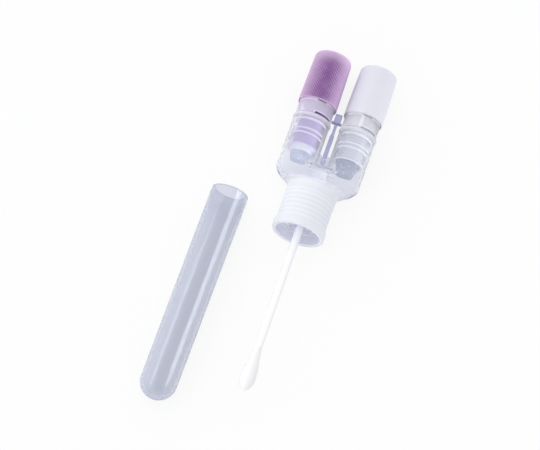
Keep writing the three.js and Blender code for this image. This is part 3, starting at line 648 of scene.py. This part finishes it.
SLOT_SWEEP, SLOT_TOP = math.radians(75), BAND_BOTTOM + 0.65
SLIT_FROM, SLIT_SWEEP, SLIT_DEPTH = math.radians(-3), math.radians(32), 0.5
SLIT_LOW, SLIT_HIGH = CAP_EDGE - 0.48, CAP_EDGE - 0.08
SLOT_SOFT = math.radians(3)
BAR_MIDDLE, BAR_HALF_WIDTH, BAR_FOOT = math.radians(-1), 0.7, BAND_BOTTOM + 0.15
BEADS = [(7.0, 0.5), (5.4, 0.5), (1.9, 0.8)]  # depth below the barrel's rim, and width
BEAD_PROUD = 0.12
# How milky each part of a vial is, and how strong its painted highlights are; the band and its bar differ
# between the units
VIAL_MILK, VIAL_EDGE_MILK, PAINTED_HIGHLIGHT = 0.08, 0.9, 0.95


def signed(angle):
    """Angles from -pi to pi."""
    return (angle + np.pi) % (2 * np.pi) - np.pi


def on_bar(angle, y):
    """1 on the upright bar of the neck band, whose lower end is round."""
    across = np.abs(signed(angle - BAR_MIDDLE)) * BAND_RADIUS
    foot = BAR_FOOT + BAR_HALF_WIDTH - np.sqrt(np.clip(BAR_HALF_WIDTH**2 - across**2, 0, None))
    return (1 - smooth(across, BAR_HALF_WIDTH - 0.15, BAR_HALF_WIDTH)) * smooth(y, foot - 0.1, foot + 0.1)


def in_slot(angle):
    return window(signed(angle), 0, SLOT_SWEEP, SLOT_SOFT)


def in_slit(angle, y):
    along = window(signed(angle), SLIT_FROM, SLIT_FROM + SLIT_SWEEP, SLOT_SOFT)
    return along * window(y, SLIT_LOW, SLIT_HIGH, 0.1)


def vial_bead(depth, width):
    """Outline points of a bead: VIAL_RADIUS + proud cos(pi t / 2)^0.7 for t from -1 to 1."""
    t = np.linspace(-1, 1, 9)
    radius = VIAL_RADIUS + BEAD_PROUD * np.cos(np.pi * t / 2) ** 0.7
    return np.stack([radius, BARREL_RIM - depth + (width / 2 + 0.12) * t], 1)


def side_vial(unit, look):
    """The clear vial and its neck band. The band's lower edge steps up over the slot, the slit dips into
    it, and the bar stands proud of it."""
    band_low = np.linspace(BAND_BOTTOM, SLIT_LOW - 0.2, 20)
    band_high = np.linspace(SLIT_LOW - 0.1, CAP_EDGE, 10)
    band_y = np.concatenate([band_low, band_high, [BAND_TOP - 0.3]])
    profile = outline(
        [[VIAL_BORE, VIAL_END + 0.15], [VIAL_BORE + 0.15, VIAL_END], [VIAL_RADIUS - 0.15, VIAL_END]],
        [[VIAL_RADIUS, VIAL_END + 0.15], [VIAL_RADIUS, VIAL_END + 0.35], [VIAL_RADIUS, VIAL_END + 0.45]],
        *[vial_bead(depth, width) for depth, width in BEADS],
        [[VIAL_RADIUS, BAND_BOTTOM - 0.1], [VIAL_RADIUS, BAND_BOTTOM - 0.05]],
        [[VIAL_RADIUS, BAND_BOTTOM], [BAND_RADIUS - 0.1, BAND_BOTTOM]],
        np.stack([np.full(len(band_y), BAND_RADIUS), band_y], 1),
        [[BAND_RADIUS - 0.3, BAND_TOP], [VIAL_RADIUS, BAND_TOP], [VIAL_RADIUS, VIAL_NECK_TOP - 0.2]],
        [[VIAL_RADIUS - 0.2, VIAL_NECK_TOP], [VIAL_BORE, VIAL_NECK_TOP]],
        [[VIAL_BORE, VIAL_END + 0.45], [VIAL_BORE, VIAL_END + 0.35], [VIAL_BORE, VIAL_END + 0.15]],
    )

    def band(angle, y, radius):
        skin = (radius > BAND_RADIUS - 0.05) & (y < CAP_EDGE + 0.01)
        under = (radius > BAND_RADIUS - 0.2) & (y < BAND_BOTTOM + 0.01)
        foot = (np.abs(y - BAND_BOTTOM) < 0.01) & (radius > VIAL_RADIUS - 0.01)
        raised = BAND_BOTTOM + (SLOT_TOP - BAND_BOTTOM) * in_slot(angle)
        y = np.where(foot | under, raised, np.where(skin, np.maximum(y, raised), y))
        radius = radius + skin * (BAR_PROUD * on_bar(angle, y) - SLIT_DEPTH * in_slit(angle, y))
        return radius, y

    def milk(x, y, z):
        """A frosted line on the end's rim, and painted highlights on the beads, the bar, the band's top edge
        and the lip round the slot.
        """
        angle, radius = about(x, z, unit.x)
        value = np.maximum(VIAL_MILK, VIAL_EDGE_MILK * (y < VIAL_END + 0.4))
        for depth, width in BEADS:
            # painted highlight on each bead
            near = np.abs(y - BARREL_RIM + depth) < width / 2 + 0.1
            value = np.maximum(value, PAINTED_HIGHLIGHT * (radius > VIAL_RADIUS + 0.01) * near)
        shown = radius > BAND_RADIUS - 0.15
        value = np.maximum(value, unit.band_milk * shown)
        # painted highlight along the band's top edge, under the cap
        value = np.maximum(value, PAINTED_HIGHLIGHT * shown * (y > SLIT_LOW - 0.15))
        # painted highlight on the bar
        value = np.maximum(value, unit.bar_milk * shown * on_bar(angle, y))
        # painted highlight on the lip round the slot
        beyond = np.maximum(np.abs(angle - SLOT_SWEEP / 2) - SLOT_SWEEP / 2, 0) * BAND_RADIUS
        lip = shown * (np.hypot(beyond, np.maximum(y - SLOT_TOP, 0)) < 0.3)
        return np.maximum(value, PAINTED_HIGHLIGHT * lip)

    def accent(x, y, z):
        """Painted shade on the floors of the slot and of the slit."""
        angle, radius = about(x, z, unit.x)
        slot_floor = (np.abs(radius - VIAL_RADIUS) < 0.1) & (y > BAND_BOTTOM - 0.06) & (y < SLOT_TOP + 0.1)
        slit_floor = (np.abs(radius - BAND_RADIUS + 0.4) < 0.2) & (y > SLIT_LOW) & (y < SLIT_HIGH + 0.1)
        return in_slot(angle) * slot_floor + unit.slit_shade * in_slit(angle, y) * slit_floor

    made = piece(f"{unit.label}_unit_vial", [spun(profile, FINE_SIDES, unit.x, band)], HOLDER, look)
    paint(made, HOLDER, milk=milk, accent=accent)
    return stand_for(made, f"{unit.label}_side_vial", "holder")


# ---- Press caps, plugs and liquid -------------------------------------------------------

RIB_COUNT, RIB_STEPS, RIB_DEPTH = 74, 6, 0.09
STEM_RING_PITCH, STEM_RING_DEPTH = 1.15, 0.05
STEM_BEAD = VIAL_NECK_TOP - 4.0
STEM_FADE = 0.45  # how much the stem's colour weakens towards the cap
STEM_FADE_FROM, STEM_FADE_TO = BARREL_RIM - 1.5, BARREL_RIM + 3.5
# Painted light on the cap's solid end, which light shines through
END_SHARE, END_CENTRE_RADIUS, END_CENTRE_FADE = 0.85, 3, 0.6  # the pale end, weaker at its centre


def stem_ring(y):
    """0 to 1 and back once each pitch up the plunger stem."""
    return (1 - np.cos(2 * np.pi * (y - STEM_END) / STEM_RING_PITCH)) / 2


def press_cap(unit, look):
    """The cap and its plunger stem, one moulding. Its side has fine ribs, which die out where the top
    rounds over: radius less RIB_DEPTH (1 - cos(RIB_COUNT angle)) / 2."""
    side_y = np.linspace(CAP_EDGE + 0.12, CAP_TOP - CAP_ROUND, 14)
    side_r = CAP_EDGE_RADIUS - CAP_DRAFT * (side_y - CAP_EDGE) / (CAP_TOP - CAP_ROUND - CAP_EDGE)
    stem_y = np.linspace(STEM_BEAD - 0.7, STEM_END + 0.2, 70)
    profile = outline(
        [[0, CAP_TOP]],
        [[2.5, CAP_TOP]],
        arc(CAP_TOP_RADIUS - CAP_ROUND, CAP_TOP - CAP_ROUND, CAP_ROUND, 90, 0, 10),
        np.stack([side_r, side_y], 1)[::-1][1:-1],
        [[CAP_EDGE_RADIUS - 0.01, CAP_EDGE + 0.3], [CAP_EDGE_RADIUS, CAP_EDGE + 0.15]],
        [[CAP_EDGE_RADIUS - 0.08, CAP_EDGE], [SKIRT_BORE + 0.08, CAP_EDGE], [SKIRT_BORE, CAP_EDGE + 0.1]],
        [[SKIRT_BORE, SKIRT_BORE_TOP], [NECK_BORE, SKIRT_BORE_TOP + SKIRT_TAPER]],
        [[NECK_BORE, CAP_CEILING - 0.4], [NECK_BORE - 0.4, CAP_CEILING], [STEM_RADIUS, CAP_CEILING]],
        [[STEM_RADIUS, STEM_BEAD + 0.6], [STEM_RADIUS + 0.1, STEM_BEAD + 0.4]],
        [[STEM_RADIUS + 0.1, STEM_BEAD - 0.4], [STEM_RADIUS, STEM_BEAD - 0.6]],
        np.stack([STEM_RADIUS - STEM_RING_DEPTH * stem_ring(stem_y), stem_y], 1),
        [[STEM_RADIUS, STEM_END + 0.1], [STEM_RADIUS - 0.1, STEM_END], [STEM_BORE + 0.1, STEM_END]],
        [[STEM_BORE, STEM_END + 0.1], [STEM_BORE, CAP_CEILING - 0.3], [STEM_BORE - 0.3, CAP_CEILING]],
        [[0, CAP_CEILING]],
    )

    def ribs(angle, y, radius):
        fade = smooth(y, CAP_EDGE, CAP_EDGE + 0.3) * (1 - smooth(y, CAP_TOP - 1.6, CAP_TOP - 0.5))
        dip = RIB_DEPTH * (1 - np.cos(RIB_COUNT * angle)) / 2
        return radius - fade * dip * (radius > SKIRT_BORE + 0.05), y

    def stem(x, y, z):
        """1 on the stem, less towards the cap and at each of its fine rings."""
        _, radius = about(x, z, unit.x)
        on_stem = (radius < STEM_RADIUS + 0.2) * (y < CAP_CEILING)
        rings = unit.stem_ring_shade * stem_ring(y) * (y < STEM_BEAD - 0.6)
        return on_stem * (1 - STEM_FADE * smooth(y, STEM_FADE_FROM, STEM_FADE_TO)) * (1 - rings)

    def end(x, y, z):
        """Painted light on the cap: its solid end paler, as light shines through it, and a painted highlight
        on the thin edge of its skirt.
        """
        _, radius = about(x, z, unit.x)
        centre = END_CENTRE_FADE * (radius < END_CENTRE_RADIUS) * (y > CAP_TOP - 0.1)
        top = END_SHARE * smooth(y, CAP_CEILING - 3.2, CAP_TOP - 0.6) * (1 - centre)
        return np.maximum(top, (y < CAP_EDGE + 0.2) & (radius > SKIRT_BORE - 0.1))

    skin = spun(profile, RIB_COUNT * RIB_STEPS, unit.x, ribs)
    made = piece(f"{unit.label}_ribbed_cap", [skin], HOLDER, look, sharp=50)
    paint(made, HOLDER, stem=stem, end=end)
    return stand_for(made, f"{unit.label}_cap", f"{unit.label}_press")


def side_plug(unit, look):
    """A solid tapered plug under a flange; it turns pale from the height that the unit gives."""
    profile = outline(
        [[0, PLUG_TIP], [PLUG_TIP_RADIUS - 0.25, PLUG_TIP]],
        line((PLUG_TIP_RADIUS, PLUG_TIP + 0.2), (PLUG_RADIUS - 0.05, VIAL_END - 0.5), 14),
        [[PLUG_RADIUS, VIAL_END - 0.25], [PLUG_RADIUS, VIAL_END]],
        [[PLUG_FLANGE_RADIUS - 0.1, VIAL_END], [PLUG_FLANGE_RADIUS, VIAL_END + 0.1]],
        [[PLUG_FLANGE_RADIUS, PLUG_TOP - 0.1], [PLUG_FLANGE_RADIUS - 0.1, PLUG_TOP], [0, PLUG_TOP]],
    )
    made = piece(f"{unit.label}_unit_plug", [spun(profile, x=unit.x)], HOLDER, look)
    paint(made, HOLDER, accent=lambda x, y, z: smooth(y, unit.plug_pale_from, unit.plug_pale_from + 0.3))
    return stand_for(made, f"{unit.label}_side_plug", f"{unit.label}_plug")


def side_reagent(unit, look):
    """The liquid in the hollow stem, with a meniscus that climbs the wall: height + 0.5 (radius / full)^4
    less 0.5."""
    r = np.linspace(1, 0, 12)
    top = np.stack([REAGENT_RADIUS * r, REAGENT_TOP - 0.5 + 0.5 * r**4], 1)
    foot = [[0, REAGENT_FOOT], [REAGENT_RADIUS - 0.1, REAGENT_FOOT], [REAGENT_RADIUS, REAGENT_FOOT + 0.1]]
    made = piece(f"{unit.label}_unit_reagent", [spun(outline(foot, top), 64, unit.x)], HOLDER, look)
    return stand_for(made, f"{unit.label}_side_reagent", f"{unit.label}_press")


# ---- Materials --------------------------------------------------------------------------

# Noise scales are in repeats to the metre, and bump depths in metres
POLISH_SCALE, RIPPLE_SCALE, RIPPLE_DEPTH = 900, 260, 0.00006
SATIN_BLOTCH_SCALE, SATIN_GRAIN_SCALE, SATIN_GRAIN_DEPTH = 500, 9000, 0.00003
WHITE_BLOTCH_SCALE = 300
ACCENT_HAZE = 0.95  # the haze where a clear piece's accent is full
LAMPS_THROUGH = 0.8  # the share of lamp light that a clear wall lets past


class Shader:
    """A material's node tree, with short ways to add and join nodes."""

    def __init__(self, name):
        self.material = bpy.data.materials.new(name)
        self.material.use_nodes = True
        self.tree = self.material.node_tree
        self.tree.nodes.clear()
        self.out = self.node("OutputMaterial")

    def node(self, kind, inputs=None, **settings):
        made = self.tree.nodes.new("ShaderNode" + kind)
        for key, value in settings.items():
            setattr(made, key, value)
        for key, value in (inputs or {}).items():
            if isinstance(value, bpy.types.NodeSocket):
                self.tree.links.new(value, made.inputs[key])
            else:
                made.inputs[key].default_value = value
        return made

    def maths(self, operation, a, b=0.0):
        return self.node("Math", {0: a, 1: b}, operation=operation).outputs[0]

    def ramp(self, value, low, high, to_low=0.0, to_high=1.0):
        limits = {"From Min": low, "From Max": high, "To Min": to_low, "To Max": to_high}
        return self.node("MapRange", {"Value": value, **limits}).outputs["Result"]

    def blend(self, share, a, b):
        return self.node("MixShader", {0: share, 1: a, 2: b}).outputs[0]

    def colour(self, share, a, b):
        made = self.node("Mix", data_type="RGBA")
        for index, value in ((0, share), (6, a), (7, b)):
            if isinstance(value, bpy.types.NodeSocket):
                self.tree.links.new(value, made.inputs[index])
            else:
                made.inputs[index].default_value = value
        return made.outputs[2]

    def object_noise(self, scale, detail):
        inputs = {"Vector": self.node("TexCoord").outputs["Object"], "Scale": scale, "Detail": detail}
        return self.node("TexNoise", inputs).outputs["Fac"]

    def bump(self, height, strength, depth):
        return self.node("Bump", {"Height": height, "Strength": strength, "Distance": depth}).outputs[0]

    def principled(self, colour, roughness, normal, **inputs):
        inputs = {"Base Color": colour, "Roughness": roughness, "Normal": normal, **inputs}
        return self.node("BsdfPrincipled", inputs).outputs[0]

    def finish(self, shader):
        self.tree.links.new(shader, self.out.inputs["Surface"])
        return self.material


def scattering(s, colour, through=0.3):
    """Light that the plastic scatters back, and the share that comes out on the other side of the wall."""
    matt = s.node("BsdfDiffuse", {"Color": colour}).outputs[0]
    glow = s.node("BsdfTranslucent", {"Color": colour}).outputs[0]
    return s.blend(through, matt, glow)


def clear_look(
    name, tint, haze, haze_colour, roughness=0.03, ior=1.2, density=0.0, taken=(1, 1, 1), accent_colour=None
):
    """Clear moulded plastic: a refracting wall, tinted at each face and by an even absorption for its
    length, with a share of haze that scatters light. haze is a number, or the name of the piece's own
    attribute; where its accent attribute is 1 the haze is dense and has the accent colour. Its polish
    varies a little and it has a faint flow ripple. Lamps shine through it."""
    s = Shader(name)
    polish = s.ramp(s.object_noise(POLISH_SCALE, 4.0), 0.3, 0.7, roughness * 0.5, roughness * 1.6)
    ripple = s.bump(s.object_noise(RIPPLE_SCALE, 3.0), 0.25, RIPPLE_DEPTH)
    glass = {"Transmission Weight": 1.0, "IOR": ior}
    wall = s.principled((*tint, 1), polish, ripple, **glass)
    share = s.node("Attribute", attribute_name=haze).outputs["Fac"] if isinstance(haze, str) else haze
    colour = (*haze_colour, 1)
    if accent_colour:
        accent = s.node("Attribute", attribute_name="accent").outputs["Fac"]
        colour = s.colour(accent, colour, (*accent_colour, 1))
        share = s.maths("MAXIMUM", share, s.maths("MULTIPLY", accent, ACCENT_HAZE))
    if density:
        volume = s.node("VolumeAbsorption", {"Color": (*taken, 1), "Density": density})
        s.tree.links.new(volume.outputs[0], s.out.inputs["Volume"])
    lamps_pass = s.node("BsdfTransparent", {"Color": (*tint, 1)}).outputs[0]
    shadow = s.node("LightPath").outputs["Is Shadow Ray"]
    body = s.blend(share, wall, scattering(s, colour))
    return s.finish(s.blend(s.maths("MULTIPLY", shadow, LAMPS_THROUGH), body, lamps_pass))


def satin_look(name, colour, stem_colour, rim_colour, rim_share, through=0.25, roughness=0.5):
    """Satin translucent plastic: it scatters light at its skin and lets some out on the far side of the
    wall. Under a fine spark-eroded grain its soft gloss grows towards the edges of the form. The thin-
    walled stem has a paler colour of its own."""
    s = Shader(name)
    blotch = s.object_noise(SATIN_BLOTCH_SCALE, 3.0)
    stem = s.node("Attribute", attribute_name="stem").outputs["Fac"]
    end = s.node("Attribute", attribute_name="end").outputs["Fac"]
    # The end attribute mixes in the rim colour: painted light on the cap's solid end and a painted highlight
    # on its skirt's edge.
    shade = s.colour(end, (*colour, 1), (*rim_colour, 1))
    shade = s.colour(stem, shade, (*stem_colour, 1))
    shade = s.colour(s.ramp(blotch, 0.3, 0.7, 0.0, 0.12), shade, (*rim_colour, 1))
    grain = s.bump(s.object_noise(SATIN_GRAIN_SCALE, 2.0), 0.3, SATIN_GRAIN_DEPTH)
    skin = s.principled(shade, s.ramp(blotch, 0.3, 0.7, roughness * 0.8, roughness * 1.2), grain)
    glow = s.node("BsdfTranslucent", {"Color": shade}).outputs[0]
    facing = s.node("LayerWeight", {"Blend": 0.5}).outputs["Facing"]
    off_stem = s.ramp(stem, 0.0, 0.5, 1.0, 0.15)
    rim = s.maths("MULTIPLY", s.ramp(facing, 0.1, 0.48, 0.0, rim_share), off_stem)
    bloom = s.node("BsdfGlossy", {"Color": (*rim_colour, 1), "Roughness": 0.7, "Normal": grain}).outputs[0]
    return s.finish(s.blend(rim, s.blend(through, skin, glow), bloom))


def solid_look(name, colour, roughness, grain_scale, grain_depth, spread=0.04):
    """An opaque white: base colour with a faint variation, and a fine grain in its bump and roughness."""
    s = Shader(name)
    blotch = s.object_noise(WHITE_BLOTCH_SCALE, 4.0)
    darker = tuple(c * (1 - spread) for c in colour)
    shade = s.colour(blotch, (*darker, 1), (*colour, 1))
    grain = s.bump(s.object_noise(grain_scale, 3.0), 0.5, grain_depth)
    return s.finish(s.principled(shade, s.ramp(blotch, 0.3, 0.7, roughness * 0.85, roughness * 1.1), grain))


# ---- The object -------------------------------------------------------------------------

# The moulding's accent colour is the painted shade in the collar's bore.
BODY_LOOK = clear_look(
    "clear_to_milky_plastic", tint=(0.98, 0.982, 1.0), haze="milk", haze_colour=(0.985, 0.99, 1.0),
    roughness=0.12, density=60.0, taken=(0.45, 0.48, 0.7), accent_colour=(0.5, 0.5, 0.68),
)
# The tube's darker haze colour, raised inside the mouth, is painted shade.
TUBE_LOOK = clear_look(
    "clear_tube_plastic", tint=(0.965, 0.97, 0.985), haze="milk", haze_colour=(0.6, 0.63, 0.73),
    # accent colour: painted highlights on the tube's rim and round its foot
    roughness=0.05, ior=1.48, density=160.0, taken=(0.25, 0.33, 0.58), accent_colour=(0.93, 0.94, 1.0),
)
STICK_LOOK = solid_look("stick_white", (0.96, 0.96, 0.97), 0.4, grain_scale=3000, grain_depth=0.00002)
BUD_LOOK = solid_look("wound_fibre", (0.93, 0.92, 0.93), 0.9, grain_scale=5000, grain_depth=0.0001)
KEY_LOOK = clear_look("lilac_key_plastic", (0.8, 0.82, 0.93), 0.5, (0.6, 0.61, 0.84), roughness=0.1)
PURPLE_PLUG_LOOK = clear_look(
    "grey_blue_plug_plastic", tint=(0.87, 0.9, 0.97), haze=0.5, haze_colour=(0.56, 0.62, 0.76),
    roughness=0.2, accent_colour=(0.93, 0.95, 1.0),
)
WHITE_PLUG_LOOK = clear_look(
    "slate_blue_plug_plastic", tint=(0.8, 0.84, 0.92), haze=0.6, haze_colour=(0.4, 0.46, 0.58),
    roughness=0.2, accent_colour=(0.85, 0.88, 0.95),
)
REAGENT_LOOK = clear_look(
    "reagent_liquid", tint=(0.97, 0.98, 0.99), haze=0.0, haze_colour=(0.9, 0.95, 1.0), roughness=0.0, ior=1.33
)
# The vials' accent colours are painted shade on the floors of the slot and the slit.
PURPLE_VIAL_LOOK = clear_look(
    "clear_vial_plastic_purple_slot_shade", tint=(0.985, 0.98, 0.995), haze="milk", haze_colour=(0.92, 0.86, 1.0),
    accent_colour=(0.17, 0.08, 0.22),
)
WHITE_VIAL_LOOK = clear_look(
    "clear_vial_plastic_pale_slot_shade", tint=(0.985, 0.985, 0.995), haze="milk", haze_colour=(0.97, 0.97, 1.0),
    accent_colour=(0.6, 0.57, 0.72),
)
PURPLE_CAP_LOOK = satin_look(
    "purple_satin_plastic", (0.19, 0.045, 0.275), stem_colour=(0.45, 0.37, 0.74),
    rim_colour=(0.76, 0.59, 0.8), rim_share=0.95,
)
WHITE_CAP_LOOK = satin_look(
    "natural_satin_plastic", (0.85, 0.85, 0.91), stem_colour=(0.5, 0.54, 0.65),
    rim_colour=(0.83, 0.83, 0.9), rim_share=0.55, through=0.2,
)

twin_barrel_moulding(BODY_LOOK)
test_tube(TUBE_LOOK)
swab_stick(STICK_LOOK)
swab_bud(BUD_LOOK)
centre_key(KEY_LOOK)
for unit, vial_look, cap_look, plug_look in (
    (PURPLE, PURPLE_VIAL_LOOK, PURPLE_CAP_LOOK, PURPLE_PLUG_LOOK),
    (WHITE, WHITE_VIAL_LOOK, WHITE_CAP_LOOK, WHITE_PLUG_LOOK),
):
    side_vial(unit, vial_look)
    press_cap(unit, cap_look)
    side_plug(unit, plug_look)
    side_reagent(unit, REAGENT_LOOK)


# ---- Camera, light and floor ------------------------------------------------------------

VIEW_AZIMUTH, VIEW_ELEVATION, VIEW_ROLL = (math.radians(a) for a in (7.86, 69.2, 11.1))
VIEW_TARGET = Vector((-0.516, 2.908, 6.0)) * MM
VIEW_DISTANCE = 1.5
VIEW_WIDTH = 0.172  # of the frame, at the target


def make_camera():
    """A long lens at this distance from the target, turned by azimuth, elevation and roll."""
    a, e, r = VIEW_AZIMUTH, VIEW_ELEVATION, VIEW_ROLL
    back = Vector((math.sin(a) * math.cos(e), -math.cos(a) * math.cos(e), math.sin(e)))
    level = Vector((math.cos(a), math.sin(a), 0))
    up = back.cross(level)
    right = level * math.cos(r) + up * math.sin(r)
    turn = Matrix((right, back.cross(right), back)).transposed().to_4x4()
    lens = bpy.data.cameras.new("studio_camera")
    lens.lens = lens.sensor_width * VIEW_DISTANCE / VIEW_WIDTH
    camera = bpy.data.objects.new("studio_camera", lens)
    camera.matrix_world = Matrix.Translation(VIEW_TARGET + back * VIEW_DISTANCE) @ turn
    bpy.context.scene.collection.objects.link(camera)
    bpy.context.scene.camera = camera


SOFTBOX_DISTANCE, SOFTBOX_SIZE = 0.6, {"side_softbox": (0.3, 0.2), "front_strip": (0.12, 0.5)}


def make_softbox(name, direction, power):
    """An area lamp that faces the object from this direction, its height along the holder. It shows in
    reflections only, so it draws a streak on clear plastic and adds no shading."""
    lamp = bpy.data.lights.new(name, "AREA")
    lamp.shape, lamp.energy = "RECTANGLE", power
    lamp.size, lamp.size_y = SOFTBOX_SIZE[name]
    made = bpy.data.objects.new(name, lamp)
    towards = Vector(direction).normalized()
    across = Vector((0, 1, 0)).cross(towards).normalized()
    turn = Matrix((across, towards.cross(across), towards)).transposed().to_4x4()
    made.matrix_world = Matrix.Translation(towards * SOFTBOX_DISTANCE) @ turn
    made.visible_diffuse = False
    bpy.context.scene.collection.objects.link(made)


def largest_ray_share(nodes, links, direct, in_glass):
    """The direct share for rays straight from the camera, the other share for rays by a mirror or through
    glass, and 0 for rays that carry light."""
    path = nodes.new("ShaderNodeLightPath")
    total = 0.0
    shares = {"Is Camera Ray": direct, "Is Glossy Ray": in_glass, "Is Transmission Ray": in_glass}
    for kind, share in shares.items():
        scaled, larger = nodes.new("ShaderNodeMath"), nodes.new("ShaderNodeMath")
        scaled.operation, larger.operation = "MULTIPLY", "MAXIMUM"
        links.new(path.outputs[kind], scaled.inputs[0])
        scaled.inputs[1].default_value = share
        links.new(scaled.outputs[0], larger.inputs[0])
        if total:
            links.new(total, larger.inputs[1])
        else:
            larger.inputs[1].default_value = 0
        total = larger.outputs[0]
    return total


WORLD_LEFT, WORLD_RIGHT = 1.5, 0.68  # the strength of the world's light from each side


def make_world():
    """White where it is seen, by a camera, mirror or glass ray; as light, stronger from the left."""
    world = bpy.data.worlds.new("white_room")
    world.use_nodes = True
    nodes, links = world.node_tree.nodes, world.node_tree.links
    out, ambient = nodes["World Output"], nodes["Background"]
    ambient.inputs["Color"].default_value = (0.98, 0.985, 1.0, 1)
    backdrop = nodes.new("ShaderNodeBackground")
    backdrop.inputs["Color"].default_value = (1, 1, 1, 1)
    mix = nodes.new("ShaderNodeMixShader")
    place = nodes.new("ShaderNodeSeparateXYZ")
    links.new(nodes.new("ShaderNodeTexCoord").outputs["Generated"], place.inputs[0])
    fill = nodes.new("ShaderNodeMapRange")
    fill.inputs["From Min"].default_value, fill.inputs["From Max"].default_value = -1, 1
    fill.inputs["To Min"].default_value, fill.inputs["To Max"].default_value = WORLD_LEFT, WORLD_RIGHT
    links.new(place.outputs["X"], fill.inputs["Value"])
    links.new(fill.outputs["Result"], ambient.inputs["Strength"])
    links.new(largest_ray_share(nodes, links, 1.0, 1.0), mix.inputs[0])
    links.new(ambient.outputs[0], mix.inputs[1])
    links.new(backdrop.outputs[0], mix.inputs[2])
    links.new(mix.outputs[0], out.inputs["Surface"])
    bpy.context.scene.world = world


FLOOR_HALF_WIDTH = 1.5
FLOOR_WHITE_SHARE = 0.85  # how much of the floor is plain white to the camera; the rest takes shadow
FLOOR_SHARE_IN_GLASS = 0.42


def make_floor():
    mesh = bpy.data.meshes.new("floor")
    h = FLOOR_HALF_WIDTH
    mesh.from_pydata([(-h, -h, 0), (h, -h, 0), (h, h, 0), (-h, h, 0)], [], [(0, 1, 2, 3)])
    look = bpy.data.materials.new("white_paper")
    look.use_nodes = True
    nodes, links = look.node_tree.nodes, look.node_tree.links
    nodes.remove(nodes["Principled BSDF"])
    matt = nodes.new("ShaderNodeBsdfDiffuse")
    matt.inputs["Color"].default_value = (0.88, 0.88, 0.88, 1)
    white = nodes.new("ShaderNodeEmission")
    share = largest_ray_share(nodes, links, FLOOR_WHITE_SHARE, FLOOR_SHARE_IN_GLASS)
    mix = nodes.new("ShaderNodeMixShader")
    links.new(share, mix.inputs[0])
    links.new(matt.outputs[0], mix.inputs[1])
    links.new(white.outputs[0], mix.inputs[2])
    links.new(mix.outputs[0], nodes["Material Output"].inputs["Surface"])
    mesh.materials.append(look)
    floor = bpy.data.objects.new("floor", mesh)
    bpy.context.scene.collection.objects.link(floor)


make_camera()
make_softbox("side_softbox", (0.79, 0.35, 0.51), 0.62)
make_softbox("front_strip", (0.81, -0.2, 0.53), 0.72)
make_world()
make_floor()
bpy.context.scene.view_settings.view_transform = "Standard"
bounces = bpy.context.scene.cycles
bounces.max_bounces, bounces.transmission_bounces, bounces.transparent_max_bounces = 48, 48, 48
bounces.diffuse_bounces = bounces.glossy_bounces = 24
